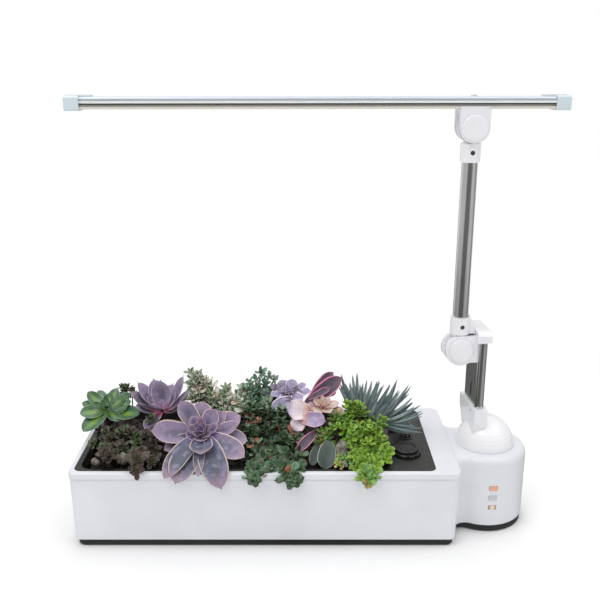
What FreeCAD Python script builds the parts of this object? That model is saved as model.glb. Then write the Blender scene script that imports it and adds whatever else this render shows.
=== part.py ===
"""Countertop hydroponic garden: a planted tray on a water tub, a pump tower and a jointed lamp.

Lengths are in millimetres. +X runs along the planter to the tower, +Y runs away from the front
and +Z is up. Planter places are measured from the rim's front left corner and lamp places from
the tower's axis. The model's origin is on the table, under the middle of the whole footprint.
"""
import FreeCAD, Part
import math
import os
import Sketcher

Vector = FreeCAD.Vector
UP = Vector(0, 0, 1)

SIZES = {
    # Planter: rim, tub and base
    "planter_length": 416, "planter_width": 166, "rim_top": 89, "rim_depth": 7,
    "corner_radius": 9, "rim_round": 1.4, "tub_inset": 0.7, "tub_draft": 1.2, "tub_wall": 2.4,
    "base_top": 8.7, "base_inset": 4.2, "base_wall": 2.4, "base_floor": 2,
    "foot_lift": 1.2, "foot_radius": 6, "foot_recess": 1, "foot_edge": 26,
    "screw_shank": 1.4, "screw_head": 2.8, "screw_sink": 1.8, "screw_length": 9.5,
    "boss_radius": 4.2, "boss_edge": 16, "pilot_gap": 0.05, "shank_hole": 1.7,
    "front_edge": 6, "left_edge": 5, "right_edge": 26, "tray_radius": 8, "ledge": 3,
    # How far the leaves stand out past the rim; the frame lies under the middle of the whole
    "leaf_left": 5.91, "leaf_front": 13.68,
    # Tower
    "tower_out": 39, "tower_y": 76, "tower_radius": 46, "tower_wall": 2.4, "tower_shoulder": 8,
    "tower_top_wall": 2.5, "tower_boss_circle": 40, "tower_boss_height": 22,
    "web_radius": 14, "web_edge": 3,
    # Growing tray, filling and plants
    "tray_plate": 2, "tray_gap": 0.3, "basin_end": 80.7, "basin_depth": 26, "basin_draft": 24,
    "basin_radius": 14,
    "medium_top": 79, "cup_radius": 19, "cup_depth": 24, "cup_wall": 1.2, "cup_pitch": 60,
    "cup_flange": 2.4, "cup_row": 20, "cup_first": 52, "plant_seat": 0.2, "rim_guard": 0.45,
    # Fill port and level gauge
    "port_end": 53, "port_y": 50, "port_radius": 12.6, "port_wall": 1.5, "port_flange": 16.5,
    "port_height": 3.4, "port_length": 9, "cap_radius": 13.3, "cap_height": 2.6, "cap_plug": 8,
    "cap_gap": 0.08, "gauge_end": 49, "gauge_y": 88, "gauge_radius": 5.8, "gauge_wall": 1.2,
    "gauge_length": 60, "float_radius": 5.5, "float_height": 15, "float_z": 46, "stem_radius": 1.8,
    "stem_top": 92,
    # Pump
    "pump_end": 74, "pump_y": 104, "pump_length": 38, "pump_width": 32, "pump_height": 32,
    "pump_lift": 1.5, "pump_bore": 11, "pump_bore_depth": 14, "pump_cover": 2.5,
    "impeller_radius": 9.6, "impeller_width": 9, "impeller_shaft": 1.5, "shaft_gap": 0.05,
    "spout_radius": 5, "spout_height": 9, "hose_wall": 1.5, "hose_rise": 20, "hose_bend": 12,
    # Buttons, board and power inlet
    "button_shift": 2.6, "button_width": 9, "button_height": 5.2, "button_gap": 0.25,
    "button_proud": 0.8, "button_low": 30.9, "button_pitch": 11.8, "button_travel": 0.6,
    "flange_grow": 1.1, "board_y": 38, "board_width": 38, "board_low": 14, "board_height": 48,
    "board_thick": 1.6, "board_boss": 3.8, "board_pilot": 3,
    "inlet_z": 21, "inlet_radius": 5.5, "inlet_bore": 2.8, "inlet_pin": 1, "inlet_depth": 13,
    # Turret and mast
    "lamp_turn": 5.5, "bar_turn": 1.5, "dome_radius": 32, "dome_gap": 0.25, "dome_wall": 2.4,
    "spigot_radius": 13, "spigot_wall": 3, "spigot_gap": 0.1, "spigot_length": 8, "keeper_radius": 18,
    "keeper_height": 3, "mast_x": -13.6, "mast_y": 5.3, "mast_thick": 10, "mast_depth": 46,
    "mast_wall": 1.4, "mast_foot": 123, "mast_top": 214, "mast_gap": 0.05, "holder_width": 14.7,
    "holder_depth": 55, "holder_top": 137, "holder_low": 105, "slot_low": 146, "slot_high": 161,
    "slot_width": 3, "head_width": 15.5, "head_depth": 50, "head_height": 12, "head_plug": 10,
    # Hinges and arm
    "hinge_x": -37.4, "hinge_y": -2.4, "lower_z": 204, "upper_z": 440, "lower_fork": 16.8,
    "upper_fork": 15, "lower_depth": 21, "upper_depth": 28, "knuckle_width": 12, "knuckle_gap": 0.2,
    "lower_knuckle": 12.6, "upper_knuckle": 11.4, "neck_width": 13, "pin_radius": 4,
    "pin_gap": 0.06, "hinge_cap_radius": 13, "hinge_cap_height": 2.6, "sweep_gap": 0.6,
    "collar_radius": 10.2, "collar_height": 19, "arm_radius": 8.25, "arm_wall": 1.2,
    "arm_gap": 0.04, "gusset_height": 21, "gusset_gap": 0.5, "collar_screw": 1.5, "screw_end": 4.2,
    "collar_screw_head": 2.3, "collar_screw_length": 5,
    # Lamp bar
    "bar_left": 403.5, "bar_right": 94.7, "bar_depth": 20, "bar_low": 458.4, "bar_height": 11.6,
    "bar_wall": 2, "bar_groove": 0.5, "shade_groove": 1.4, "lip_height": 2.4, "end_length": 14.5,
    "end_socket": 9, "end_wall": 1.6, "end_gap": 0.05, "clip_length": 11, "clip_width": 12,
    "strip_thick": 1.6, "strip_width": 12, "diffuser_thick": 3.6,
    "tongue_gap": 0.3, "bar_screw": 1.6, "bar_screw_head": 3,
    # Plants: middle, reach and height of each
    "green_along": 0.0480, "green_y": 100, "green_reach": 33, "green_top": 122,
    "upright_along": 0.2437, "upright_y": 92, "upright_reach": 32, "upright_top": 142,
    "large_along": 0.3997, "large_y": 42, "large_reach": 50, "large_top": 126, "large_droop": 32,
    "dark_along": 0.1642, "dark_y": 46, "dark_reach": 17, "dark_top": 100,
    "variegated_along": 0.4578, "variegated_y": 126, "variegated_reach": 15, "variegated_top": 150,
    "jade_along": 0.5862, "jade_y": 132, "jade_reach": 10, "jade_top": 150,
    "lilac_along": 0.6994, "lilac_y": 122, "lilac_reach": 27, "lilac_top": 132,
    "pink_along": 0.7789, "pink_y": 76, "pink_reach": 21, "pink_top": 117,
    "sedum_along": 0.6260, "sedum_y": 44, "sedum_reach": 15, "sedum_top": 112,
    "spoon_along": 0.7850, "spoon_y": 32, "spoon_reach": 15, "spoon_top": 105,
    "fingers_along": 0.9838, "fingers_y": 100, "fingers_reach": 46, "fingers_top": 150,
    "lime_along": 0.9257, "lime_y": 40, "lime_reach": 14, "lime_top": 112,
    "stone_radius": 8,
}

doc = FreeCAD.newDocument("hydroponic_garden")
sheet = doc.addObject("Spreadsheet::Sheet", "sizes")


class Size:
    """A length that keeps its formula on the sheet beside its present value."""

    def __init__(self, text, value):
        self.text = text
        self.value = value

    def __float__(self):
        return float(self.value)

    def __neg__(self):
        return Size(f"(0 - {self.text})", -self.value)

    def __add__(self, other):
        return Size(f"({self.text} + {words(other)})", self.value + float(other))

    __radd__ = __add__

    def __sub__(self, other):
        return Size(f"({self.text} - {words(other)})", self.value - float(other))

    def __rsub__(self, other):
        return Size(f"({words(other)} - {self.text})", float(other) - self.value)

    def __mul__(self, other):
        return Size(f"({self.text} * {words(other)})", self.value * float(other))

    __rmul__ = __mul__

    def __truediv__(self, other):
        return Size(f"({self.text} / {words(other)})", self.value / float(other))


def words(value):
    """The formula of a size, or the digits of a plain number."""
    return value.text if isinstance(value, Size) else repr(float(value))


def root(area):
    """The square root of a size."""
    return Size(f"sqrt({area.text})", math.sqrt(float(area)))


def cosine(angle):
    return Size(f"cos({angle.text} * 1 deg)", math.cos(math.radians(float(angle))))


def sine(angle):
    return Size(f"sin({angle.text} * 1 deg)", math.sin(math.radians(float(angle))))


def tangent(angle):
    return Size(f"tan({angle.text} * 1 deg)", math.tan(math.radians(float(angle))))


class Sheet:
    """The driving sizes, each read by its own name."""

    def __getattr__(self, alias):
        return Size(f"sizes.{alias}", float(getattr(sheet, alias)))


def fill_sheet():
    """Write the driving sizes to the sheet, one alias to a row."""
    for row, (alias, value) in enumerate(SIZES.items(), start=1):
        sheet.set(f"A{row}", alias)
        sheet.set(f"B{row}", str(value))
        sheet.setAlias(f"B{row}", alias)
    doc.recompute()


fill_sheet()
d = Sheet()

# Places that several pieces share
turn_cos = cosine(d.lamp_turn)
turn_sin = sine(d.lamp_turn)
bar_cos = cosine(d.bar_turn)
bar_sin = sine(d.bar_turn)
tower_x = d.planter_length + d.tower_out
pivot_x = tower_x + d.hinge_x * turn_cos - d.hinge_y * turn_sin
pivot_y = d.tower_y + d.hinge_x * turn_sin + d.hinge_y * turn_cos
bar_end_x = pivot_x + d.bar_right * bar_cos + (d.bar_depth / 2 + d.end_wall) * bar_sin
origin_x = (bar_end_x - d.leaf_left) / 2
origin_y = (d.planter_width - d.leaf_front) / 2
seam = d.rim_top - d.rim_depth
opening_right = d.planter_length - d.right_edge
opening_back = d.planter_width - d.front_edge
flange_low = d.rim_top - 0.5 - d.tray_plate
flange_top = flange_low + d.tray_plate
floor_top = d.foot_lift + d.base_floor
tub_floor = d.base_top + d.tub_wall
basin_left = d.left_edge + d.ledge + d.tray_gap
basin_front = d.front_edge + d.ledge + d.tray_gap
basin_back = d.planter_width - basin_front
basin_right = d.planter_length - d.basin_end
basin_floor = flange_low - d.basin_depth
tower_front = d.tower_y - d.tower_radius
arm_low = d.lower_z + d.lower_fork + d.sweep_gap
arm_high = d.upper_z - d.upper_fork - d.sweep_gap
bar_top = d.bar_low + d.bar_height
port_x = d.planter_length - d.port_end
gauge_x = d.planter_length - d.gauge_end
pump_x = d.planter_length - d.pump_end

parts = {}
standing = []


def bind(item, prop, value):
    """Tie one property to a size, or set a plain number."""
    item.setExpression(prop, words(value))


def shift(item, x=0, y=0, z=0):
    """Place an item by its own corner or centre."""
    for letter, value in zip("xyz", (x, y, z)):
        bind(item, f"Placement.Base.{letter}", value)
    return item


def on_planter(item, label, x=0, y=0, z=0):
    """Name a finished piece and set it down in the planter's frame."""
    item.Label = label
    shift(item, x - origin_x, y - origin_y, z)
    parts[label] = item
    return item


def turn(item, angle):
    """Turn an item about its own upright axis."""
    item.Placement = FreeCAD.Placement(Vector(), FreeCAD.Rotation(UP, float(angle)))
    bind(item, "Placement.Rotation.Angle", angle)
    return item


def on_lamp(item, label, x=0, y=0, z=0):
    """Name a finished piece and set it down in the frame that turns with the dome."""
    turn(item, d.lamp_turn)
    return on_planter(item, label, tower_x + x * turn_cos - y * turn_sin,
                      d.tower_y + x * turn_sin + y * turn_cos, z)


def on_bar(item, label, x=0, y=0, z=0):
    """Name a finished piece and set it down in the bar's frame, turned about the arm tube."""
    across = x - d.hinge_x
    back = y - d.hinge_y
    turn(item, d.bar_turn)
    return on_planter(item, label, pivot_x + across * bar_cos - back * bar_sin,
                      pivot_y + across * bar_sin + back * bar_cos, z)


def box(x0, y0, z0, x1, y1, z1):
    """A block between two corners."""
    item = doc.addObject("Part::Box", "block")
    bind(item, "Length", x1 - x0)
    bind(item, "Width", y1 - y0)
    bind(item, "Height", z1 - z0)
    return shift(item, x0, y0, z0)


TURNS = {
    "x": FreeCAD.Rotation(Vector(0, 1, 0), 90),
    "y": FreeCAD.Rotation(Vector(1, 0, 0), -90),
    "z": FreeCAD.Rotation(),
}


def rod(radius, length, x, y, z, along="z"):
    """A round rod from a centre point along one axis."""
    item = doc.addObject("Part::Cylinder", "rod")
    item.Placement = FreeCAD.Placement(Vector(), TURNS[along])
    bind(item, "Radius", radius)
    bind(item, "Height", length)
    return shift(item, x, y, z)


def ball(radius, x, y, z):
    item = doc.addObject("Part::Sphere", "ball")
    bind(item, "Radius", radius)
    return shift(item, x, y, z)


def cut(base, *tools):
    """Take each tool away from the base."""
    for tool in tools:
        item = doc.addObject("Part::Cut", "cut")
        item.Base = base
        item.Tool = tool
        base = item
    return base


def fuse(*pieces):
    item = doc.addObject("Part::MultiFuse", "fuse")
    item.Shapes = list(pieces)
    return item


def common(base, tool):
    item = doc.addObject("Part::Common", "common")
    item.Base = base
    item.Tool = tool
    return item


def group(*pieces):
    """Several separate solids that share one node."""
    item = doc.addObject("Part::Compound", "group")
    item.Links = list(pieces)
    return item


def new_body(name):
    return doc.addObject("PartDesign::Body", name)


def sketch_on(body, role, height=0):
    """A sketch on one of the body's own origin planes, lifted by a size."""
    sketch = body.newObject("Sketcher::SketchObject", "outline")
    planes = [item for item in body.Origin.OriginFeatures if item.Role == role]
    sketch.AttachmentSupport = [(planes[0], "")]
    sketch.MapMode = "FlatFace"
    bind(sketch, "AttachmentOffset.Base.z", height)
    return sketch


def pin_point(sketch, kind, element, point, value):
    """Hold one coordinate of a sketch point to a size."""
    index = sketch.addConstraint(Sketcher.Constraint(kind, -1, 1, element, point, float(value)))
    name = f"{kind}{index}"
    sketch.renameConstraint(index, name)
    bind(sketch, f"Constraints.{name}", value)


def polygon(sketch, points):
    """A closed outline whose corners are held to sizes."""
    first = sketch.GeometryCount
    spots = [Vector(float(u), float(v), 0) for u, v in points]
    count = len(spots)
    for i, spot in enumerate(spots):
        sketch.addGeometry(Part.LineSegment(spot, spots[(i + 1) % count]), False)
    for i, (u, v) in enumerate(points):
        following = first + (i + 1) % count
        sketch.addConstraint(Sketcher.Constraint("Coincident", first + i, 2, following, 1))
        pin_point(sketch, "DistanceX", first + i, 1, u)
        pin_point(sketch, "DistanceY", first + i, 1, v)


def rounded(sketch, left, front, right, back, radius):
    """A rectangle with round corners: four sides, then four arcs that touch them."""
    low_u, low_v, high_u, high_v = (float(value) for value in (left, front, right, back))
    r = float(radius)
    sides = [((low_u + r, low_v), (high_u - r, low_v)), ((high_u, low_v + r), (high_u, high_v - r)),
             ((high_u - r, high_v), (low_u + r, high_v)), ((low_u, high_v - r), (low_u, low_v + r))]
    for start, end in sides:
        sketch.addGeometry(Part.LineSegment(Vector(*start, 0), Vector(*end, 0)), False)
    middles = [(high_u - r, low_v + r), (high_u - r, high_v - r),
               (low_u + r, high_v - r), (low_u + r, low_v + r)]
    for quarter, (u, v) in enumerate(middles, start=-1):
        arc = Part.ArcOfCircle(Part.Circle(Vector(u, v, 0), UP, r),
                               quarter * math.pi / 2, (quarter + 1) * math.pi / 2)
        sketch.addGeometry(arc, False)
    for i in range(4):
        sketch.addConstraint(Sketcher.Constraint("Tangent", i, 2, 4 + i, 1))
        sketch.addConstraint(Sketcher.Constraint("Tangent", 4 + i, 2, (i + 1) % 4, 1))
        sketch.addConstraint(Sketcher.Constraint("Vertical" if i % 2 else "Horizontal", i))
        if i:
            sketch.addConstraint(Sketcher.Constraint("Equal", 4, 4 + i))
    rule = sketch.addConstraint(Sketcher.Constraint("Radius", 4, r))
    sketch.renameConstraint(rule, "corner")
    bind(sketch, "Constraints.corner", radius)
    for kind, side, value in (("DistanceY", 0, front), ("DistanceX", 1, right),
                              ("DistanceY", 2, back), ("DistanceX", 3, left)):
        pin_point(sketch, kind, side, 1, value)


def extrude(body, sketch, length, down=False, middle=False, draft=0):
    """A pad from a sketch; a draft narrows it as it goes."""
    feature = body.newObject("PartDesign::Pad", "step")
    feature.Profile = sketch
    bind(feature, "Length", length)
    feature.Reversed = down
    feature.Midplane = middle
    if float(draft):
        bind(feature, "TaperAngle", -draft)
    body.Tip = feature


def slab(left, front, right, back, radius, low, high, draft=0):
    """A block with round corners, pulled down from its top and narrowed by the draft."""
    body = new_body("slab")
    sketch = sketch_on(body, "XY_Plane", high)
    rounded(sketch, left, front, right, back, radius)
    extrude(body, sketch, high - low, down=True, draft=draft)
    return body


def prism(role, points, length):
    """A block of one outline, centred on its sketch's plane."""
    body = new_body("prism")
    sketch = sketch_on(body, role)
    polygon(sketch, points)
    extrude(body, sketch, length, middle=True)
    return body


def lathe(points):
    """A round piece turned about its own upright axis."""
    body = new_body("turned")
    sketch = sketch_on(body, "XZ_Plane")
    polygon(sketch, points)
    feature = body.newObject("PartDesign::Revolution", "turn")
    feature.Profile = sketch
    feature.ReferenceAxis = (sketch, ["V_Axis"])
    feature.Angle = 360
    body.Tip = feature
    return body


def screw_spots():
    """Places of the base screws: along the tub, then around the tower."""
    inner = d.boss_edge
    across = d.planter_width - inner
    along = [inner, d.planter_length / 2, d.planter_length - inner]
    spots = [(x, y) for x in along for y in (inner, across)]
    for degrees in (-45, 45):
        reach_x = d.tower_boss_circle * math.cos(math.radians(degrees))
        reach_y = d.tower_boss_circle * math.sin(math.radians(degrees))
        spots.append((tower_x + reach_x, d.tower_y + reach_y))
    return spots


def foot_spots():
    """Places of the rubber feet."""
    edge = d.foot_edge
    spots = [(x, y) for x in (edge, d.planter_length - edge) for y in (edge, d.planter_width - edge)]
    reach = d.tower_radius - d.foot_radius - 8
    return spots + [(tower_x + reach, d.tower_y)]


def tower_webs(plane, reach, radius, start, low, high, flare=0):
    """Both hollow corners between a flat end and the tower, rounded at the top by the flare."""
    middle = plane + radius
    rise = root((reach + radius) * (reach + radius) - (tower_x - middle) * (tower_x - middle))
    arc = [(radius + flare - flare * math.cos(math.radians(angle)),
            high - flare + flare * math.sin(math.radians(angle)))
           for angle in range(10, 91, 10)] if float(flare) else [(radius, high)]
    reach_out = radius + flare
    webs = []
    for side in (-1, 1):
        corner = d.tower_y + side * rise
        edge = corner - side * d.web_edge
        block = new_body("web")
        sketch = sketch_on(block, "XY_Plane", low)
        polygon(sketch, [(start, edge), (middle, edge), (tower_x, d.tower_y), (start, d.tower_y)])
        extrude(block, sketch, high - low)
        steps = [(0, low - 1), (radius, low - 1), (radius, high - flare - 0.01)]
        cutter = lathe(steps + arc + [(reach_out, high + 1), (0, high + 1)])
        webs.append(cut(block, shift(cutter, middle, corner)))
    return webs


def base_outline(inset, low, high):
    """The base's outline, the planter's rectangle joined to the tower's circle."""
    planter = slab(inset, inset, d.planter_length - inset, d.planter_width - inset,
                   d.corner_radius, low, high)
    reach = d.tower_radius - (inset - d.base_inset + 0.8)
    plane = d.planter_length - inset
    webs = tower_webs(plane, reach, d.web_radius, plane - 1, low, high)
    return fuse(planter, rod(reach, high - low, tower_x, d.tower_y, low), *webs)


def make_base_tray():
    """Black base under the tub and the tower, with screw cups and foot recesses."""
    outside = base_outline(d.base_inset, d.foot_lift, d.base_top)
    inside = base_outline(d.base_inset + d.base_wall, floor_top, d.base_top)
    cups = [rod(d.screw_head + 2, d.base_top - d.foot_lift, x, y, d.foot_lift) for x, y in screw_spots()]
    shell = fuse(cut(outside, inside), *cups)
    sinks = [rod(d.screw_head + 0.2, d.screw_sink + 1.4, x, y, d.foot_lift) for x, y in screw_spots()]
    holes = [rod(d.shank_hole, d.base_top, x, y, d.foot_lift) for x, y in screw_spots()]
    recesses = [rod(d.foot_radius + 0.1, d.foot_recess, x, y, d.foot_lift) for x, y in foot_spots()]
    on_planter(cut(shell, fuse(*sinks, *holes, *recesses)), "base_tray")


def make_base_screws():
    """Countersunk self-tapping screws that hold the base to the tub and the tower."""
    screws = []
    head_low = d.foot_lift + 1.2
    for x, y in screw_spots():
        head = rod(d.screw_head, d.screw_sink, x, y, head_low)
        shank = rod(d.screw_shank, d.screw_length, x, y, head_low + d.screw_sink)
        slot = box(x - d.screw_head, y - 0.4, head_low, x + d.screw_head, y + 0.4, head_low + 0.8)
        screws.append(cut(fuse(head, shank), slot))
    on_planter(group(*screws), "base_screws")


def make_feet():
    """Rubber feet, each set in its recess."""
    feet = [rod(d.foot_radius, d.foot_lift + d.foot_recess, x, y, 0) for x, y in foot_spots()]
    on_planter(group(*feet), "rubber_feet")


def tub_shape(inset, low):
    """A rounded block inside the tub's drafted walls."""
    return slab(inset, inset, d.planter_length - inset, d.planter_width - inset,
                d.corner_radius, low, seam, d.tub_draft)


def make_trough_tub():
    """White water tub with drafted walls and blind screw bosses."""
    outside = tub_shape(d.tub_inset, d.base_top)
    inside = tub_shape(d.tub_inset + d.tub_wall, tub_floor)
    boss_top = tub_floor + d.screw_length - 1
    bosses = [rod(d.boss_radius, boss_top - d.base_top, x, y, d.base_top) for x, y in screw_spots()[:6]]
    pilots = [rod(d.screw_shank + d.pilot_gap, d.screw_length - 2, x, y, d.base_top)
              for x, y in screw_spots()[:6]]
    on_planter(cut(fuse(cut(outside, inside), *bosses), fuse(*pilots)), "trough_tub")


def button_heights():
    return [d.button_low + d.button_pitch * step for step in range(3)]


def make_top_housing():
    """White rim, deck and tower in one moulding."""
    rim = slab(0, 0, d.planter_length, d.planter_width, d.corner_radius, seam, d.rim_top)
    doc.recompute()
    faces = rim.Shape.Faces
    high = max(range(len(faces)), key=lambda i: faces[i].CenterOfMass.z)
    pad = rim.Tip
    top_edge = rim.newObject("PartDesign::Fillet", "round")
    top_edge.Base = (pad, [f"Face{high + 1}"])
    bind(top_edge, "Radius", d.rim_round)
    rim.Tip = top_edge
    shoulder = d.tower_shoulder
    steps = [(0, d.base_top), (d.tower_radius, d.base_top), (d.tower_radius, d.rim_top - shoulder)]
    arc = [(d.tower_radius - shoulder + shoulder * math.cos(math.radians(angle)),
            d.rim_top - shoulder + shoulder * math.sin(math.radians(angle)))
           for angle in range(10, 91, 10)]
    tower = shift(lathe(steps + arc + [(0, d.rim_top)]), tower_x, d.tower_y)
    inner = d.tower_radius - d.tower_wall
    ceiling = d.rim_top - d.tower_top_wall
    narrow = inner - shoulder + d.tower_wall
    hollow = shift(lathe([(0, d.base_top), (inner, d.base_top), (inner, ceiling - shoulder + 3),
                          (narrow, ceiling), (0, ceiling)]), tower_x, d.tower_y)
    gap_x = d.planter_length - d.tub_inset + d.tray_gap
    tower_side = cut(tower, box(tower_x - d.tower_radius, 0, 0, gap_x, d.planter_width, seam))
    opening = slab(d.left_edge, d.front_edge, opening_right, opening_back, d.tray_radius,
                   flange_low, d.rim_top + 1)
    well = slab(d.left_edge + d.ledge, d.front_edge + d.ledge, opening_right - d.ledge,
                opening_back - d.ledge, d.tray_radius - 2, seam - 1, flange_low + 1)
    bosses = []
    pilots = []
    for x, y in screw_spots()[6:]:
        bosses.append(rod(d.boss_radius, d.tower_boss_height, x, y, d.base_top))
        pilots.append(rod(d.screw_shank + d.pilot_gap, d.screw_length, x, y, d.base_top))
    for x, z in board_spots():
        bosses.append(rod(3, d.board_boss, x, d.board_y - d.board_boss, z, "y"))
        pilots.append(rod(1.2, d.board_pilot, x, d.board_y - d.board_pilot, z, "y"))
    webs = tower_webs(gap_x, d.tower_radius, d.web_radius, gap_x, d.base_top, d.rim_top, shoulder)
    wall = d.tower_wall
    pockets = tower_webs(gap_x - wall, inner, d.web_radius + wall, gap_x + wall, d.base_top,
                         ceiling - shoulder + 3)
    shell = cut(fuse(rim, tower_side, *webs), hollow, *pockets, opening, well)
    middle = tower_x + d.button_shift
    holes = []
    for step, z in enumerate(button_heights()):
        half = d.button_width / 2 + d.button_gap
        tall = d.button_height / 2 + d.button_gap
        holes.append(box(middle - half, tower_front - 2, z - tall, middle + half, tower_front + 6, z + tall))
    spigot_hole = rod(d.spigot_radius + d.spigot_gap, 12, tower_x, d.tower_y, ceiling - 6)
    inlet_hole = rod(d.inlet_radius + 0.1, 10, tower_x, d.tower_y + d.tower_radius - 6, d.inlet_z, "y")
    whole = fuse(shell, *bosses)
    on_planter(cut(whole, fuse(*pilots), fuse(*holes), spigot_hole, inlet_hole), "top_housing")


def board_spots():
    """Places of the two screws that hold the control board."""
    half = d.board_width / 2 - 3
    return [(tower_x - half, d.board_low + d.board_height - 4), (tower_x + half, d.board_low + 4)]


def make_control_board():
    """Control board with one switch behind each button, and its two screws."""
    left = tower_x - d.board_width / 2
    plate = box(left, d.board_y, d.board_low, left + d.board_width,
                d.board_y + d.board_thick, d.board_low + d.board_height)
    holes = [rod(1.5, d.board_thick + 2, x, d.board_y - 1, z, "y") for x, z in board_spots()]
    middle = tower_x + d.button_shift
    switches = [box(middle - 3, d.board_y - 2.2, z - 2, middle + 3, d.board_y, z + 2)
                for z in button_heights()]
    chip = box(left + 4, d.board_y + d.board_thick, d.board_low + 8,
               left + 16, d.board_y + d.board_thick + 2, d.board_low + 20)
    on_planter(cut(fuse(plate, chip, *switches), fuse(*holes)), "control_board")
    back = d.board_y + d.board_thick
    shank = d.board_thick + d.board_pilot - 0.2
    screws = [fuse(rod(1.15, shank, x, back - shank, z, "y"), rod(2.4, 1.4, x, back, z, "y"))
              for x, z in board_spots()]
    on_planter(group(*screws), "board_screws")


def make_button(label, z, round_cap=False):
    """A button cap with a flange behind the wall and a stem to its switch."""
    middle = tower_x + d.button_shift
    half = d.button_width / 2
    tall = d.button_height / 2
    behind = tower_front + d.tower_wall + 1.7
    cap = box(middle - half, tower_front - 2, z - tall, middle + half, behind, z + tall)
    if round_cap:
        cap = rod(tall, behind - tower_front + 2, middle, tower_front - 2, z, "y")
    skin = rod(d.tower_radius + d.button_proud, d.rim_top, tower_x, d.tower_y, 0)
    flange = box(middle - half - d.flange_grow, behind - 0.01, z - tall - d.flange_grow,
                 middle + half + d.flange_grow, behind + 1, z + tall + d.flange_grow)
    stem = rod(1.5, d.board_y - 2.3 - d.button_travel - behind - 0.5, middle, behind + 0.5, z, "y")
    on_planter(fuse(common(cap, skin), flange, stem), label)


def make_dc_inlet():
    """Power inlet at the tower's back: a socket with its centre pin."""
    mouth = d.tower_y + d.tower_radius
    body = rod(d.inlet_radius, d.inlet_depth, tower_x, mouth - d.inlet_depth, d.inlet_z, "y")
    block = box(tower_x - 5, mouth - d.inlet_depth - 6, d.inlet_z - 6,
                tower_x + 5, mouth - 6, d.inlet_z + 6)
    bore = rod(d.inlet_bore, 9, tower_x, mouth - 9, d.inlet_z, "y")
    pin = rod(d.inlet_pin, 8.5, tower_x, mouth - 9.5, d.inlet_z, "y")
    on_planter(fuse(cut(fuse(body, block), bore), pin), "dc_inlet")


def make_grow_tray():
    """Dark tray: a flange on the rim's ledge, a sloping basin and a flat deck on the right."""
    gap = d.tray_gap
    flange = slab(d.left_edge + gap, d.front_edge + gap, opening_right - gap, opening_back - gap,
                  d.tray_radius - gap, flange_low, flange_top)
    basin = slab(basin_left, basin_front, basin_right, basin_back, d.basin_radius,
                 basin_floor, flange_top, d.basin_draft)
    wall = d.tray_plate / cosine(d.basin_draft)
    hollow = basin_space(wall, basin_floor + d.tray_plate, flange_top,
                         d.basin_radius - d.tray_plate)
    cups = [rod(d.cup_radius + 0.3, 8, x, y, basin_floor - 3) for x, y in cup_spots()]
    port = rod(d.port_radius + d.port_wall + 0.05, 8, port_x, d.port_y, flange_low - 3)
    gauge = rod(d.gauge_radius + d.gauge_wall + 0.05, 8, gauge_x, d.gauge_y, flange_low - 3)
    inlet = rod(d.spout_radius, 14, basin_right - 16, hose_y(), hose_top(), "x")
    on_planter(cut(fuse(flange, basin), hollow, fuse(*cups, port, gauge, inlet)), "grow_tray")


def basin_space(wall, low, high, corner):
    """The room inside the basin's sloping walls, between two heights."""
    drop = (flange_top - high) * tangent(d.basin_draft)
    inset = wall + drop
    return slab(basin_left + inset, basin_front + inset, basin_right - inset, basin_back - inset,
                corner, low, high, d.basin_draft)


def cup_spots():
    """Places of the planting cups, two rows down the basin."""
    middle = d.planter_width / 2
    return [(d.cup_first + d.cup_pitch * step, middle + side * (d.cup_radius + d.cup_row / 2))
            for step in range(5) for side in (-1, 1)]


def make_planting_cups():
    """Slotted planting cups that hang through the basin's floor."""
    top = basin_floor + d.tray_plate
    cups = []
    for x, y in cup_spots():
        r = d.cup_radius
        w = d.cup_wall
        low = -d.cup_depth
        shell = lathe([(0, low), (r - 5, low), (r, 0), (r + d.cup_flange, 0), (r + d.cup_flange, w),
                       (r - w, w), (r - 5 - w, low + w), (0, low + w)])
        shift(shell, x, y, top)
        slots = [box(x - r - 2, y - 1.5, top + low + 4, x + r + 2, y + 1.5, top - 5),
                 box(x - 1.5, y - r - 2, top + low + 4, x + 1.5, y + r + 2, top - 5)]
        cups.append(cut(shell, *slots))
    on_planter(group(*cups), "planting_cups")


def make_growing_medium():
    """Dark fired clay filling of the basin, a plain block under the plants."""
    wall = d.tray_plate / cosine(d.basin_draft) + 0.6
    low = basin_floor + d.tray_plate + d.cup_wall + 0.1
    on_planter(basin_space(wall, low, d.medium_top, d.basin_radius), "growing_medium")


def make_fill_port():
    """Notched collar of the fill port, and its ribbed lift-out cap."""
    r = d.port_radius
    w = d.port_wall
    top = d.port_height
    collar = lathe([(r, -d.port_length), (r + w, -d.port_length), (r + w, 0), (d.port_flange, 0),
                    (d.port_flange, top - 1.4), (d.port_flange - 1.2, top), (r, top)])
    shift(collar, port_x, d.port_y, flange_top)
    notches = []
    for step in range(12):
        angle = 2 * math.pi * step / 12
        notches.append(rod(0.9, 3, port_x + d.port_flange * math.cos(angle),
                           d.port_y + d.port_flange * math.sin(angle), flange_top + 1.2))
    on_planter(cut(collar, fuse(*notches)), "fill_port_collar")
    plug = r - d.cap_gap
    tall = d.cap_height
    high = 0.1 + tall
    cap = lathe([(0, -d.cap_plug), (plug, -d.cap_plug), (plug, 0.1), (d.cap_radius, 0.1),
                 (d.cap_radius, high - 0.6), (d.cap_radius - 0.6, high),
                 (d.cap_radius - 3, high), (d.cap_radius - 3.4, high - 0.6),
                 (d.cap_radius - 5.6, high - 0.6), (d.cap_radius - 6, high - 0.1), (0, high - 0.1)])
    on_planter(cap, "fill_cap", port_x, d.port_y, flange_top + top)


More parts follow.
